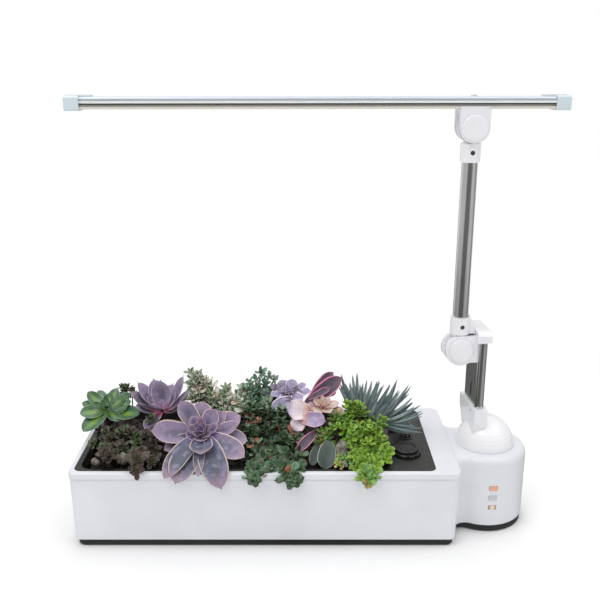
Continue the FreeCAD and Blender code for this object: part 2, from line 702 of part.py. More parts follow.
def make_level_gauge():
    """Open tube under the deck, and the float that rises in it with the water."""
    r = d.gauge_radius
    w = d.gauge_wall
    tube = lathe([(r - 1.8, -d.gauge_length), (r + w, -d.gauge_length), (r + w, 0),
                  (r + w + 1, 0), (r + w + 1, 0.8), (r, 0.8), (r, 1.5 - d.gauge_length),
                  (r - 1.8, 1.5 - d.gauge_length)])
    on_planter(tube, "level_tube", gauge_x, d.gauge_y, flange_top)
    body = rod(d.float_radius, d.float_height, gauge_x, d.gauge_y, d.float_z)
    stem = rod(d.stem_radius, d.stem_top - d.float_z, gauge_x, d.gauge_y, d.float_z)
    tip = rod(d.float_radius - 1.5, 1.2, gauge_x, d.gauge_y, flange_top + 0.2)
    on_planter(fuse(body, stem, tip), "level_float")


def hose_y():
    return d.pump_y + d.pump_width / 2


def hose_start():
    return tub_floor + d.pump_lift + d.pump_height + 2


def hose_top():
    return hose_start() + d.hose_rise + d.hose_bend


def make_pump():
    """Submersible pump: body, cover, impeller, suction feet and hose."""
    low = tub_floor + d.pump_lift
    right = pump_x + d.pump_length
    back = d.pump_y + d.pump_width
    middle_z = low + d.pump_height / 2
    case = slab(pump_x, d.pump_y, right, back, 4, low, low + d.pump_height)
    chamber = rod(d.pump_bore, d.pump_bore_depth, pump_x, hose_y(), middle_z, "x")
    spout_x = pump_x + d.pump_bore_depth / 2
    spout_low = low + d.pump_height - 1
    spout = rod(d.spout_radius, d.spout_height + 1, spout_x, hose_y(), spout_low)
    channel = rod(d.spout_radius - 2, d.spout_height + 12, spout_x, hose_y(), spout_low - 10)
    axle = rod(d.impeller_shaft, d.pump_bore_depth + 3, pump_x, hose_y(), middle_z, "x")
    on_planter(fuse(cut(fuse(case, spout), chamber, channel), axle), "pump_body")
    wheel_x = pump_x + 2
    hub = rod(4, d.impeller_width, wheel_x, hose_y(), middle_z, "x")
    reach = d.impeller_radius
    blades = [box(wheel_x, hose_y() - reach, middle_z - 0.8, wheel_x + d.impeller_width,
                  hose_y() + reach, middle_z + 0.8),
              box(wheel_x, hose_y() - 0.8, middle_z - reach, wheel_x + d.impeller_width,
                  hose_y() + 0.8, middle_z + reach)]
    bore = rod(d.impeller_shaft + d.shaft_gap, d.impeller_width, wheel_x, hose_y(), middle_z, "x")
    on_planter(cut(fuse(hub, *blades), bore), "pump_impeller")
    plate_left = pump_x - d.pump_cover
    plate = box(plate_left, d.pump_y, low, pump_x, back, low + d.pump_height)
    slots = [box(plate_left - 1, hose_y() - 8, middle_z + 5 * step - 1, pump_x + 1,
                 hose_y() + 8, middle_z + 5 * step + 1) for step in (-1.5, -0.5, 0.5, 1.5)]
    on_planter(cut(plate, fuse(*slots)), "pump_cover")
    cups = [rod(4, d.pump_lift, x, y, tub_floor)
            for x in (pump_x + 6, right - 6) for y in (d.pump_y + 6, back - 6)]
    on_planter(group(*cups), "suction_feet")
    outer = d.spout_radius + d.hose_wall
    start = hose_start()
    straight = rod(outer, d.hose_rise, spout_x, hose_y(), start)
    bend = doc.addObject("Part::Torus", "bend")
    bend.Placement = FreeCAD.Placement(Vector(), FreeCAD.Rotation(Vector(1, 0, 0), 90))
    bind(bend, "Radius1", d.hose_bend)
    bind(bend, "Radius2", outer)
    bend.Angle3 = 90
    shift(bend, spout_x - d.hose_bend, hose_y(), start + d.hose_rise)
    inner_rise = rod(d.spout_radius + 0.02, d.hose_rise, spout_x, hose_y(), start)
    inner_bend = doc.addObject("Part::Torus", "bend")
    inner_bend.Placement = FreeCAD.Placement(Vector(), FreeCAD.Rotation(Vector(1, 0, 0), 90))
    bind(inner_bend, "Radius1", d.hose_bend)
    bind(inner_bend, "Radius2", d.spout_radius + 0.02)
    inner_bend.Angle3 = 90
    shift(inner_bend, spout_x - d.hose_bend, hose_y(), start + d.hose_rise)
    on_planter(cut(fuse(straight, bend), inner_rise, inner_bend), "pump_hose")


def make_turret():
    """Glossy dome that turns on the tower, held by a keeper ring under the top."""
    r = d.dome_radius
    inner = r - d.dome_wall
    outside = [(r * math.cos(math.radians(angle)), r * math.sin(math.radians(angle)))
               for angle in range(0, 90, 9)]
    inside = [(inner * math.cos(math.radians(angle)), inner * math.sin(math.radians(angle)))
              for angle in range(81, 9, -9)]
    hole = d.spigot_radius - d.spigot_wall
    low = -d.spigot_length - d.dome_gap
    shell = lathe([(hole, low), (d.spigot_radius, low), (d.spigot_radius, 0)] + outside
                  + [(0, r), (0, inner)] + inside + [(inner - 0.6, d.dome_wall), (hole, d.dome_wall)])
    on_lamp(shell, "turret_dome", 0, 0, d.rim_top + d.dome_gap)
    keeper_top = d.rim_top - d.tower_top_wall - d.dome_gap
    ring = cut(rod(d.keeper_radius, d.keeper_height, 0, 0, 0),
               rod(d.spigot_radius + 0.03, d.keeper_height, 0, 0, 0))
    on_lamp(ring, "turret_keeper", 0, 0, keeper_top - d.keeper_height)


def oval_bar(thick, depth, low, high):
    """An upright bar of flat-oval section at the mast's place."""
    half = thick / 2
    reach = depth / 2 - half
    block = box(d.mast_x - half, d.mast_y - reach, low, d.mast_x + half, d.mast_y + reach, high)
    ends = [rod(half, high - low, d.mast_x, d.mast_y + side * reach, low) for side in (-1, 1)]
    return fuse(block, *ends)


def make_mast():
    """White holder on the dome, the steel mast and the small fittings at its foot."""
    left = d.mast_x - d.holder_width / 2
    front = d.mast_y - d.holder_depth / 2
    back = d.mast_y + d.holder_depth / 2
    keel = prism("YZ_Plane", [(front, d.holder_top), (front, d.holder_top - 16),
                              (front + 6, d.holder_low + 2), (front + 10, d.holder_low),
                              (back - 11, d.holder_low), (back, d.holder_top - 12),
                              (back, d.holder_top)], d.holder_width)
    shift(keel, d.mast_x, 0, 0)
    dome = ball(d.dome_radius + 0.04, 0, 0, d.rim_top + d.dome_gap)
    pocket = oval_bar(d.mast_thick + 2 * d.mast_gap, d.mast_depth + 2 * d.mast_gap,
                      d.mast_foot, d.holder_top + 1)
    screw_z = d.holder_top - 6
    side_hole = rod(1.6, d.holder_width / 2, left - 1, d.mast_y - 12, screw_z, "x")
    on_lamp(cut(keel, dome, pocket, side_hole), "mast_holder")
    tube = cut(oval_bar(d.mast_thick, d.mast_depth, d.mast_foot, d.mast_top),
               oval_bar(d.mast_thick - 2 * d.mast_wall, d.mast_depth - 2 * d.mast_wall,
                        d.mast_foot - 1, d.mast_top + 1))
    window = box(left, d.mast_y - 4, d.slot_low, d.mast_x, d.mast_y - 4 + d.slot_width, d.slot_high)
    screw_hole = rod(1.6, d.holder_width / 2, left - 1, d.mast_y - 12, screw_z, "x")
    on_lamp(cut(tube, window, screw_hole), "mast_tube")
    screw = rod(1.5, 5, left + 0.4, d.mast_y - 12, screw_z, "x")
    on_lamp(group(screw), "holder_screw")


def cheek_pair(fork_radius, depth, centre_z, points, slot_left, slot_right, slot_low, slot_high):
    """A hinge fork: a round end joined to a block, with a slot for the knuckle."""
    fork_front = d.hinge_y - depth / 2
    disc = rod(fork_radius, depth, d.hinge_x, fork_front, centre_z, "y")
    block = prism("XZ_Plane", points, depth)
    shift(block, 0, d.hinge_y, 0)
    half = d.knuckle_width / 2 + d.knuckle_gap
    slot = box(slot_left, d.hinge_y - half, slot_low, slot_right, d.hinge_y + half, slot_high)
    hole = rod(d.pin_radius + 0.02, depth + 2, d.hinge_x, fork_front - 1, centre_z, "y")
    return cut(fuse(disc, block), slot, hole)


def make_mast_head():
    """White cap of the mast with the lower hinge's fork on its left."""
    face = d.mast_x - d.mast_thick / 2
    r = d.lower_fork
    low = d.lower_z - r + 3
    high = d.lower_z + r - 0.8
    corners = [(d.hinge_x, low), (face, low), (face, high), (d.hinge_x, high)]
    fork = cheek_pair(r, d.lower_depth, d.lower_z, corners, d.hinge_x - r - 1, face - 4,
                      d.lower_z - r - 1, d.lower_z + r + 1)
    left = d.mast_x - d.head_width / 2
    front = d.mast_y - d.head_depth / 2
    top = d.mast_top + d.head_height
    cover = prism("YZ_Plane", [(front, d.mast_top), (front + d.head_depth, d.mast_top),
                               (front + d.head_depth, top - 4), (front + d.head_depth - 5, top),
                               (front + 5, top), (front, top - 4)], d.head_width)
    shift(cover, left + d.head_width / 2, 0, 0)
    plug = oval_bar(d.mast_thick - 2 * d.mast_wall - 0.1, d.mast_depth - 2 * d.mast_wall - 0.1,
                    d.mast_top - d.head_plug, d.mast_top)
    on_lamp(fuse(fork, cover, plug), "mast_head")


def make_hinge_hardware(name, centre_z, depth, place):
    """One hinge's pin and its pair of round covers."""
    fork_front = d.hinge_y - depth / 2
    pin = rod(d.pin_radius, depth, d.hinge_x, fork_front, centre_z, "y")
    place(group(pin), f"{name}_hinge_pin")
    r = d.hinge_cap_radius
    tall = d.hinge_cap_height
    profile = [(0, 0), (r, 0), (r, tall * 0.45), (r - 0.5, tall * 0.7), (r - 2, tall * 0.88),
               (r - 6, tall), (0, tall)]
    covers = []
    for tilt, y in ((90, fork_front), (-90, fork_front + depth)):
        cover = lathe(profile)
        cover.Placement = FreeCAD.Placement(Vector(), FreeCAD.Rotation(Vector(1, 0, 0), tilt))
        covers.append(shift(cover, d.hinge_x, y, centre_z))
    place(group(*covers), f"{name}_hinge_covers")


def knuckle(radius, centre_z, z0, z1):
    """The tongue of an arm's collar, round at the pin."""
    half = d.knuckle_width / 2
    front = d.hinge_y - half
    disc = rod(radius, d.knuckle_width, d.hinge_x, front, centre_z, "y")
    neck = box(d.hinge_x - d.neck_width / 2, front, z0, d.hinge_x + d.neck_width / 2,
               d.hinge_y + half, z1)
    hole = rod(d.pin_radius + d.pin_gap, d.knuckle_width + 2, d.hinge_x, front - 1, centre_z, "y")
    return fuse(disc, neck), hole


def make_collar(name, place, radius, centre_z, low, high, tube_low, tube_high, screw_z, gusset=None):
    """A clamp collar round the arm tube, with its knuckle and front screw."""
    reach_low = min((low, centre_z), key=float)
    reach_high = max((high, centre_z), key=float)
    tongue, hole = knuckle(radius, centre_z, reach_low, reach_high)
    ring = rod(d.collar_radius, high - low, d.hinge_x, d.hinge_y, low)
    bore = rod(d.arm_radius + d.arm_gap, tube_high - tube_low, d.hinge_x, d.hinge_y, tube_low)
    face = d.hinge_y - d.collar_radius
    screw_hole = rod(d.collar_screw + 0.05, 6, d.hinge_x, face - 1, screw_z, "y")
    sink = rod(d.collar_screw_head + 0.1, 2.5, d.hinge_x, face - 1, screw_z, "y")
    pieces = [tongue, ring] + ([gusset] if gusset else [])
    place(cut(fuse(*pieces), hole, bore, screw_hole, sink), f"{name}_collar")
    shank = rod(d.collar_screw, d.collar_screw_length - 1, d.hinge_x, face + 1, screw_z, "y")
    head = rod(d.collar_screw_head, 1, d.hinge_x, face + 0.4, screw_z, "y")
    socket = rod(d.collar_screw_head * 0.5, 0.6, d.hinge_x, face + 0.4, screw_z, "y")
    place(cut(fuse(shank, head), socket), f"{name}_collar_screw")


def make_arm():
    """The arm: lower and upper collars on a round steel tube."""
    limit = d.mast_x - d.head_width / 2 - d.gusset_gap
    wing_low = arm_low + 0.8
    wing = prism("XZ_Plane", [(d.hinge_x + 7, wing_low), (limit, wing_low), (limit - 1, wing_low + 6),
                              (d.hinge_x + 8.6, wing_low + d.gusset_height), (d.hinge_x + 7,
                              wing_low + d.gusset_height)], d.knuckle_width)
    shift(wing, 0, d.hinge_y, 0)
    tube_low = arm_low + 5
    tube_high = arm_high - 5
    low_screw = tube_low + d.screw_end
    high_screw = tube_high - d.screw_end
    make_collar("lower", on_lamp, d.lower_knuckle, d.lower_z, arm_low, arm_low + d.collar_height,
                tube_low, arm_low + d.gusset_height + 2, low_screw, wing)
    make_collar("upper", on_bar, d.upper_knuckle, d.upper_z, arm_high - d.collar_height, arm_high,
                arm_high - d.collar_height - 1, tube_high, high_screw)
    solid = rod(d.arm_radius, tube_high - tube_low, d.hinge_x, d.hinge_y, tube_low)
    hollow = rod(d.arm_radius - d.arm_wall, tube_high - tube_low + 2, d.hinge_x, d.hinge_y, tube_low - 1)
    depth = d.arm_radius + 1
    upper_hole = rod(d.collar_screw + 0.05, depth, d.hinge_x, d.hinge_y - depth, high_screw, "y")
    lower_hole = turn(group(rod(d.collar_screw + 0.05, depth, 0, -depth, low_screw, "y")),
                      d.lamp_turn - d.bar_turn)
    shift(lower_hole, d.hinge_x, d.hinge_y)
    on_bar(cut(solid, hollow, upper_hole, lower_hole), "arm_tube")


def channel_points():
    """Half sections of the lamp bar's channel, front side then mirrored."""
    half = d.bar_depth / 2
    inner = half - d.bar_wall
    low = d.bar_low + d.lip_height
    deep = half - d.shade_groove
    groove = half - d.bar_groove
    front = [(inner, low), (deep, low), (deep, low + 1.8), (half, low + 2.1), (half, low + 4.6),
             (groove, low + 4.9), (groove, low + 5.7), (half, low + 6), (half, bar_top - 1.6),
             (half - 1.6, bar_top)]
    shell = [(d.hinge_y - u, v) for u, v in front]
    shell += [(d.hinge_y + u, v) for u, v in reversed(front)]
    roof = bar_top - d.bar_wall
    return shell + [(d.hinge_y + inner, roof), (d.hinge_y - inner, roof)]


def make_bar():
    """Lamp bar: aluminium channel, light strip, diffuser and end caps."""
    left = d.hinge_x - d.bar_left
    right = d.hinge_x + d.bar_right
    cover = d.end_length - d.end_socket
    start = left + cover
    end = right - cover
    channel = prism("YZ_Plane", channel_points(), end - start)
    shift(channel, (start + end) / 2, 0, 0)
    screw_hole = rod(d.bar_screw + 0.05, 4, d.hinge_x, d.hinge_y, bar_top - 3)
    on_bar(cut(channel, screw_hole), "bar_channel")
    roof = bar_top - d.bar_wall
    half_strip = d.strip_width / 2
    strip_low = roof - d.strip_thick - 0.1
    strip = box(start + 1, d.hinge_y - half_strip, strip_low, end - 1, d.hinge_y + half_strip, roof - 0.1)
    gap = rod(d.bar_screw + 0.6, d.strip_thick + 2, d.hinge_x, d.hinge_y, strip_low - 1)
    on_bar(cut(strip, gap), "light_strip")
    half = d.bar_depth / 2
    inner = half - d.bar_wall - 0.1
    tongue = d.upper_fork + d.tongue_gap
    low = d.bar_low
    panes = []
    for x0, x1 in ((start, d.hinge_x - tongue), (d.hinge_x + tongue, end)):
        lip = box(x0, d.hinge_y - half, low, x1, d.hinge_y + half, low + d.lip_height)
        ridge = box(x0, d.hinge_y - inner, low, x1, d.hinge_y + inner, low + d.diffuser_thick)
        panes.append(fuse(lip, ridge))
    on_bar(group(*panes), "diffuser")
    for label, outer_x, side in (("left_end_cap", left, 1), ("right_end_cap", right, -1)):
        make_end_cap(label, outer_x, side)


def make_end_cap(label, outer_x, side):
    """White cap over one end of the lamp bar, with a clip that lies along its top."""
    wall = d.end_wall
    half = d.bar_depth / 2 + wall
    inner_x = outer_x + side * d.end_length
    x0, x1 = sorted((outer_x, inner_x), key=float)
    body = new_body("cap")
    sketch = sketch_on(body, "YZ_Plane", x0)
    rounded(sketch, d.hinge_y - half, d.bar_low - wall, d.hinge_y + half, bar_top + wall, 3)
    extrude(body, sketch, x1 - x0)
    depth = outer_x + side * (d.end_length - d.end_socket)
    p0, p1 = sorted((depth, inner_x + side), key=float)
    gap = d.end_gap
    pocket = box(p0, d.hinge_y - half + wall - gap, d.bar_low - gap, p1,
                 d.hinge_y + half - wall + gap, bar_top + gap)
    c0, c1 = sorted((outer_x + side * 4, inner_x + side * d.clip_length), key=float)
    clip = box(c0, d.hinge_y - d.clip_width / 2, bar_top + gap, c1, d.hinge_y + d.clip_width / 2,
               bar_top + wall)
    on_bar(fuse(cut(body, pocket), clip), label)


def make_upper_fork():
    """Fork of the upper hinge, with the tongue that the bar's screw pulls up."""
    r = d.upper_fork
    low = d.bar_low
    corners = [(d.hinge_x - r, d.upper_z), (d.hinge_x + r, d.upper_z), (d.hinge_x + r, low),
               (d.hinge_x - r, low)]
    fork = cheek_pair(r, d.upper_depth, d.upper_z, corners, d.hinge_x - r - 1, d.hinge_x + r + 1,
                      d.upper_z - r - 1, d.upper_z + d.upper_knuckle + 0.7)
    inner = d.bar_depth / 2 - d.bar_wall - 0.1
    top = bar_top - d.bar_wall - d.strip_thick - 0.3
    side = r - 0.1
    tongue = box(d.hinge_x - side, d.hinge_y - inner, d.bar_low, d.hinge_x + side, d.hinge_y + inner, top)
    half = d.bar_depth / 2
    sill = box(d.hinge_x - r, d.hinge_y - half, low, d.hinge_x + r, d.hinge_y + half, low + d.lip_height)
    hole = rod(d.bar_screw + 0.05, 9, d.hinge_x, d.hinge_y, top - 7)
    on_bar(cut(fuse(fork, sill, tongue), hole), "upper_fork")
    shank = rod(d.bar_screw, bar_top - top + 6, d.hinge_x, d.hinge_y, top - 6)
    head = rod(d.bar_screw_head, 1.6, d.hinge_x, d.hinge_y, bar_top)
    slot = box(d.hinge_x - 3, d.hinge_y - 0.35, bar_top + 0.9, d.hinge_x + 3, d.hinge_y + 0.35,
               bar_top + 1.7)
    on_bar(cut(fuse(shank, head), slot), "bar_screw")


# Plants: plain closed solids with the main forms of each plant


def point(x, y, z):
    return Vector(float(x), float(y), float(z))


def along(share):
    """A place on the basin's length, from 0 at its left end to 1 at its right end."""
    return basin_left + (basin_right - basin_left) * share


def petal_wire(x, y, count, reach, notch, turn, height):
    """A closed ring of arcs, one to a petal; height gives z at an angle."""
    def spot(radius, angle):
        return Vector(x + radius * math.cos(angle), y + radius * math.sin(angle), height(angle, radius))
    step = 2 * math.pi / count
    arcs = []
    for i in range(count):
        middle = turn + i * step
        ends = [spot(reach * notch, middle - step / 2), spot(reach * notch, middle + step / 2)]
        arcs.append(Part.Arc(ends[0], spot(reach, middle), ends[1]).toShape())
    return Part.Wire(arcs)


def petal_dish(x, y, count, reach, low, rim, turn=0.0, notch=0.62, thick=5.0, droop=0.0):
    """A ring of joined leaves: a dish that is thin at its scalloped rim."""
    x, y, reach, low, rim = (float(value) for value in (x, y, reach, low, rim))
    core = reach * 0.22

    def rim_height(angle, radius):
        share = max(0.0, -math.sin(angle)) * radius / reach
        return rim - float(droop) * share ** 2

    under = petal_wire(x, y, count, core, 0.9, turn, lambda angle, radius: low)
    edge = petal_wire(x, y, count, reach, notch, turn, rim_height)
    over = petal_wire(x, y, count, core, 0.9, turn, lambda angle, radius: low + thick)
    return Part.makeLoft([under, edge, over], True, True)


def stalk(x, y, low, high, radius):
    return Part.makeCylinder(float(radius), float(high) - float(low), point(x, y, low), UP)


def finger(base, tip, thick, thin):
    """A tapering leaf from its base to its tip."""
    way = tip.sub(base)
    return Part.makeCone(thick, thin, way.Length, base, way)


def clear_of_rim():
    """The rim's own space, grown a little, that no leaf may enter."""
    gap = float(d.rim_guard)
    length = float(d.planter_length)
    wide = float(d.planter_width)
    high = float(d.rim_top) + gap
    frame = Part.makeBox(length + 2 * gap, wide + 2 * gap, high, Vector(-gap, -gap, 0))
    edge_x = float(d.left_edge) + gap + 0.2
    edge_y = float(d.front_edge) + gap + 0.2
    hole = Part.makeBox(float(opening_right - d.left_edge) - 1, wide - 2 * edge_y, high + 1,
                        Vector(edge_x, edge_y, -1))
    return frame.cut(hole)


def basin_limits():
    """The tray's own solid space under the deck and outside the basin's sloping walls."""
    top = float(flange_top) + 0.3
    slope = math.tan(math.radians(float(d.basin_draft)))
    wall = float(d.tray_plate) / math.cos(math.radians(float(d.basin_draft))) + 0.5
    low = float(basin_floor)

    def section(z):
        inset = wall + (top - z) * slope
        left, right = float(basin_left) + inset, float(basin_right) - inset
        front, back = float(basin_front) + inset, float(basin_back) - inset
        return Part.makePolygon([Vector(left, front, z), Vector(right, front, z), Vector(right, back, z),
                                 Vector(left, back, z), Vector(left, front, z)])

    whole = Part.makeBox(600, 400, top + 60, Vector(-100, -100, -60))
    room = Part.makeLoft([section(low), section(top)], True, True)
    over = Part.makeBox(600, 100 - float(d.rim_guard), 200, Vector(-100, -100, -100))
    return whole.cut([room, over])


def add_plant(label, shapes):
    """Join a plant's forms, keep them off the rim, the tray and the plants that stand already."""
    whole = shapes[0]
    if len(shapes) > 1:
        whole = shapes[0].fuse(shapes[1:])
    whole = whole.cut([clear_of_rim(), basin_limits()] + standing)
    floor = float(d.medium_top) + float(d.plant_seat)
    sunk = Part.makeBox(600, 400, floor + 100, Vector(-100, 0, -100))
    whole = whole.cut(sunk)
    solids = sorted(whole.Solids, key=lambda solid: -solid.Volume)
    item = doc.addObject("Part::Feature", label)
    item.Shape = Part.Compound([solid for solid in solids if solid.Volume > 60])
    if len(item.Shape.Solids) == 1:
        item.Shape = item.Shape.Solids[0]
    standing.append(item.Shape.copy())
    on_planter(item, label)


def medium_seat():
    return d.medium_top + d.plant_seat


def make_rosettes():
    """The broad-leaved plants, each a few rings of leaves on a short stalk."""
    seat = medium_seat()
    x, y, reach, top = along(d.green_along), d.green_y, d.green_reach, d.green_top
    add_plant("green_rosette", [stalk(x + 8, y, seat, top - 8, 5),
              petal_dish(x + 2, y, 5, reach, top - 20, top - 12, 0.3),
              petal_dish(x + 2, y, 5, reach * 0.72, top - 13, top, 0.9)])
    x, y, reach, top = along(d.upright_along), d.upright_y, d.upright_reach, d.upright_top
    add_plant("upright_rosette", [stalk(x, y, seat, top - 26, 6),
              petal_dish(x, y, 7, reach, top - 44, top - 20, 0.2),
              petal_dish(x, y, 5, reach * 0.72, top - 38, top, 0.5)])
    x, y, reach, top = along(d.large_along), d.large_y, d.large_reach, d.large_top
    add_plant("large_rosette", [stalk(x, y, seat, top - 22, 8),
              petal_dish(x, y, 8, reach, top - 26, top - 12, 0.2, thick=7, droop=d.large_droop),
              petal_dish(x, y, 7, reach * 0.72, top - 20, top - 4, 0.5, thick=7),
              petal_dish(x, y, 6, reach * 0.42, top - 15, top, 0.1, thick=7)])
    x, y, reach, top = along(d.lilac_along), d.lilac_y, d.lilac_reach, d.lilac_top
    add_plant("lilac_rosette", [stalk(x, y, seat, top - 9, 4),
              petal_dish(x, y, 7, reach, top - 18, top - 6, 0.3),
              petal_dish(x, y, 6, reach * 0.6, top - 12, top, 0.1)])
    x, y, reach, top = along(d.pink_along), d.pink_y, d.pink_reach, d.pink_top
    add_plant("pink_rosette", [stalk(x, y, seat, top - 7, 4),
              petal_dish(x, y, 5, reach, top - 18, top - 6, 0.6),
              petal_dish(x, y, 5, reach * 0.6, top - 10, top, 0.1)])
    x, y, reach, top = along(d.spoon_along), d.spoon_y, d.spoon_reach, d.spoon_top
    add_plant("spoon_rosette", [stalk(x, y, seat, top - 10, 4),
              petal_dish(x, y, 5, reach, top - 18, top - 6, 0.3),
              petal_dish(x, y, 4, reach * 0.6, top - 12, top, 0.9)])


def make_dark_rosettes():
    """The small dark rosettes near the front left, in one node."""
    seat = medium_seat()
    reach = float(d.dark_reach)
    forms = []
    for across, back, rise in ((-36, 8, -3), (-8, 10, 0), (14, 2, 2), (10, -34, -2), (34, -14, -4)):
        x, y, top = along(d.dark_along) + across, d.dark_y + back, d.dark_top + rise
        size = reach * (0.72 if rise < 0 else 0.85)
        forms.append(stalk(x, y, seat, top - 8, 4))
        forms.append(petal_dish(x, y, 7, size, top - 13, top - 3, 0.2))
        forms.append(petal_dish(x, y, 5, size * 0.55, top - 9, top, 0.5))
    add_plant("dark_rosettes", forms)


def bunch(x, y, top, reach, offsets):
    """Balls of small leaves about a middle; each offset is across, back, rise and share."""
    return [Part.makeSphere(float(reach) * share, point(x + across, y + back, top - reach + rise))
            for across, back, rise, share in offsets]


def make_bushes():
    """The small-leaved plants, each a cluster of rounded clumps."""
    seat = medium_seat()
    x, y, top, reach = along(d.variegated_along), d.variegated_y, d.variegated_top, d.variegated_reach
    add_plant("variegated_sedum", [stalk(x, y, seat, top - 20, 7), stalk(x + 20, y, seat, 118, 7)]
              + bunch(x, y, top, reach, [(0, 4, 0, 1), (-16, -2, -18, 0.7), (13, 2, -18, 1),
                                         (27, -2, -30, 0.8), (0, 0, -24, 0.9)]))
    x, y, top, reach = along(d.jade_along), d.jade_y, d.jade_top, d.jade_reach
    add_plant("jade_shrub", [finger(point(x, y, seat), point(x, y, top - 6), 3.5, 2.5)]
              + bunch(x, y, top, reach, [(0, 0, 0, 1), (-7, 2, -9, 0.75), (2, -6, -12, 0.6)]))
    x, y, top, reach = along(d.sedum_along), d.sedum_y, d.sedum_top, d.sedum_reach
    add_plant("green_sedum", bunch(x, y, top, reach,
              [(0, 0, 0, 1), (-10, 22, 2, 0.85), (8, 28, 4, 0.9), (13, 6, -4, 0.8), (-8, -20, -8, 0.8),
               (12, -22, -8, 0.9), (2, -32, -8, 0.7), (-6, 40, 2, 0.9), (-6, -44, -17, 0.62),
               (6, -46, -17, 0.66), (2, -40, -9, 0.6), (-10, 4, -16, 1), (6, -14, -16, 1)]))
    x, y, top, reach = along(d.lime_along), d.lime_y, d.lime_top, d.lime_reach
    add_plant("lime_sedum", bunch(x, y, top, reach,
              [(0, 0, 0, 1), (10, -6, -6, 0.9), (-2, 16, 0, 0.9), (-4, 30, 2, 0.72), (16, 8, -8, 0.85),
               (2, -18, -12, 0.8), (0, -30, -8, 0.66), (2, -42, -9, 0.56), (1, -45, -17, 0.62),
               (4, -2, -18, 1), (2, 14, -18, 1)]))


def make_blue_fingers():
    """A fan of long blue fingers that lean out from one base."""
    x, y = float(along(d.fingers_along)), float(d.fingers_y)
    top, reach = float(d.fingers_top), float(d.fingers_reach)
    seat = float(medium_seat())
    base = Vector(x, y, seat + 8)
    forms = [Part.makeCylinder(9, 16, Vector(x, y, seat), UP)]
    rise = top - seat - 8
    for degrees, lean, share in ((180, 14, 1), (150, 20, 0.95), (120, 26, 0.9), (200, 24, 0.9),
                                 (100, 8, 1), (75, 24, 0.95), (60, 38, 0.95), (45, 50, 0.95),
                                 (20, 40, 1), (15, 60, 0.98), (0, 66, 1.0), (350, 50, 0.9),
                                 (342, 68, 1.0), (320, 58, 0.7), (260, 30, 0.7), (230, 30, 0.75)):
        way = math.radians(degrees)
        tilt = math.radians(lean)
        length = share * (rise * math.cos(tilt) + reach * math.sin(tilt))
        lean_way = Vector(math.cos(way) * math.sin(tilt), math.sin(way) * math.sin(tilt), math.cos(tilt))
        root = base.add(Vector(math.cos(way) * 4, math.sin(way) * 4, 0))
        forms.append(finger(root, root.add(lean_way.multiply(length)), 3.2, 1.2))
    add_plant("blue_fingers", forms)


def make_stones():
    """Loose stones on the filling."""
    seat = medium_seat()
    size = float(d.stone_radius)
    spots = ((0.0480, 26, 0.7), (0.1153, 24, 0.8), (0.8584, 58, 1.1), (0.8615, 38, 0.8))
    stones = [Part.makeSphere(size * share, point(along(place), y, seat + size * share * 0.5))
              for place, y, share in spots]
    add_plant("stones", stones)


def build():
    """Make every piece in the order of assembly."""
    make_base_tray()
    make_base_screws()
    make_feet()
    make_trough_tub()
    make_top_housing()
    make_control_board()
    heights = button_heights()
    make_button("pump_button", heights[0], round_cap=True)
    make_button("timer_button", heights[1])
    make_button("light_button", heights[2])
    make_dc_inlet()
    make_grow_tray()
    make_planting_cups()
    make_growing_medium()
    make_fill_port()
    make_level_gauge()
    make_pump()
    make_turret()
    make_mast()
    make_mast_head()
    make_hinge_hardware("lower", d.lower_z, d.lower_depth, on_lamp)
    make_hinge_hardware("upper", d.upper_z, d.upper_depth, on_bar)
    make_arm()
    make_bar()
    make_upper_fork()
    make_rosettes()
    make_dark_rosettes()
    make_bushes()
    make_blue_fingers()
    make_stones()
    doc.recompute()


def check():
    """Stop before writing if any object failed or any piece is not sound."""
    failed = [item.Label for item in doc.Objects if "Invalid" in item.State or "Error" in item.State]
    unsound = [label for label, item in parts.items() if item.Shape.isNull() or not item.Shape.isValid()]
    if failed or unsound:
        raise RuntimeError(f"failed: {failed}; not sound: {unsound}")


def write():
    """Write each piece to its own file."""
    os.makedirs("parts", exist_ok=True)
    for label, item in parts.items():
        item.Shape.exportStep(f"parts/{label}.step")
        solids = item.Shape.Solids
        print(f"{label}: {len(solids)} solid(s), {sum(solid.Volume for solid in solids) / 1000:.2f} cm3")


build()
check()
write()
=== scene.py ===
"""Looks of a countertop hydroponic garden: finishes, plants, light and camera.

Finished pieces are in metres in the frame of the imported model. Plant places are written as spots
of the picture with a depth behind the planter's front edge, and the view turns them into places
in millimetres from the rim's front left corner.
"""
import logging
import math
from dataclasses import dataclass, field
from enum import Enum
from typing import Any, Iterable, Sequence

import bpy
import numpy as np
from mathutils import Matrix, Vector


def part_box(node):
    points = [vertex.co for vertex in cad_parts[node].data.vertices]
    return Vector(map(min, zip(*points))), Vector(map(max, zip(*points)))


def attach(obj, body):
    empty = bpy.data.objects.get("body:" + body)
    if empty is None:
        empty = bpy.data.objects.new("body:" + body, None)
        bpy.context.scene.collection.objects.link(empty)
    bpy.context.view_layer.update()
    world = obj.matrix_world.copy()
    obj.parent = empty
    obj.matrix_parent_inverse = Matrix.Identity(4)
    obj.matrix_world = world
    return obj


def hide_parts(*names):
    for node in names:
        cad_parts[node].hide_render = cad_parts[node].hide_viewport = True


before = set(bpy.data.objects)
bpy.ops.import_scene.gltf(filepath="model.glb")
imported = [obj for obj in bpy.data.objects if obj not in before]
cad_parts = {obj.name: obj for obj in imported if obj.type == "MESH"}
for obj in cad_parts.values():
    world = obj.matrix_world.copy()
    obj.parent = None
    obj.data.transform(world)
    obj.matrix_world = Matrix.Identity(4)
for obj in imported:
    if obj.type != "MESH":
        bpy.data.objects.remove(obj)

LOG = logging.getLogger("garden")
MM = 0.001
GOLDEN = math.pi * (3.0 - math.sqrt(5.0))
Colour = tuple[float, float, float]


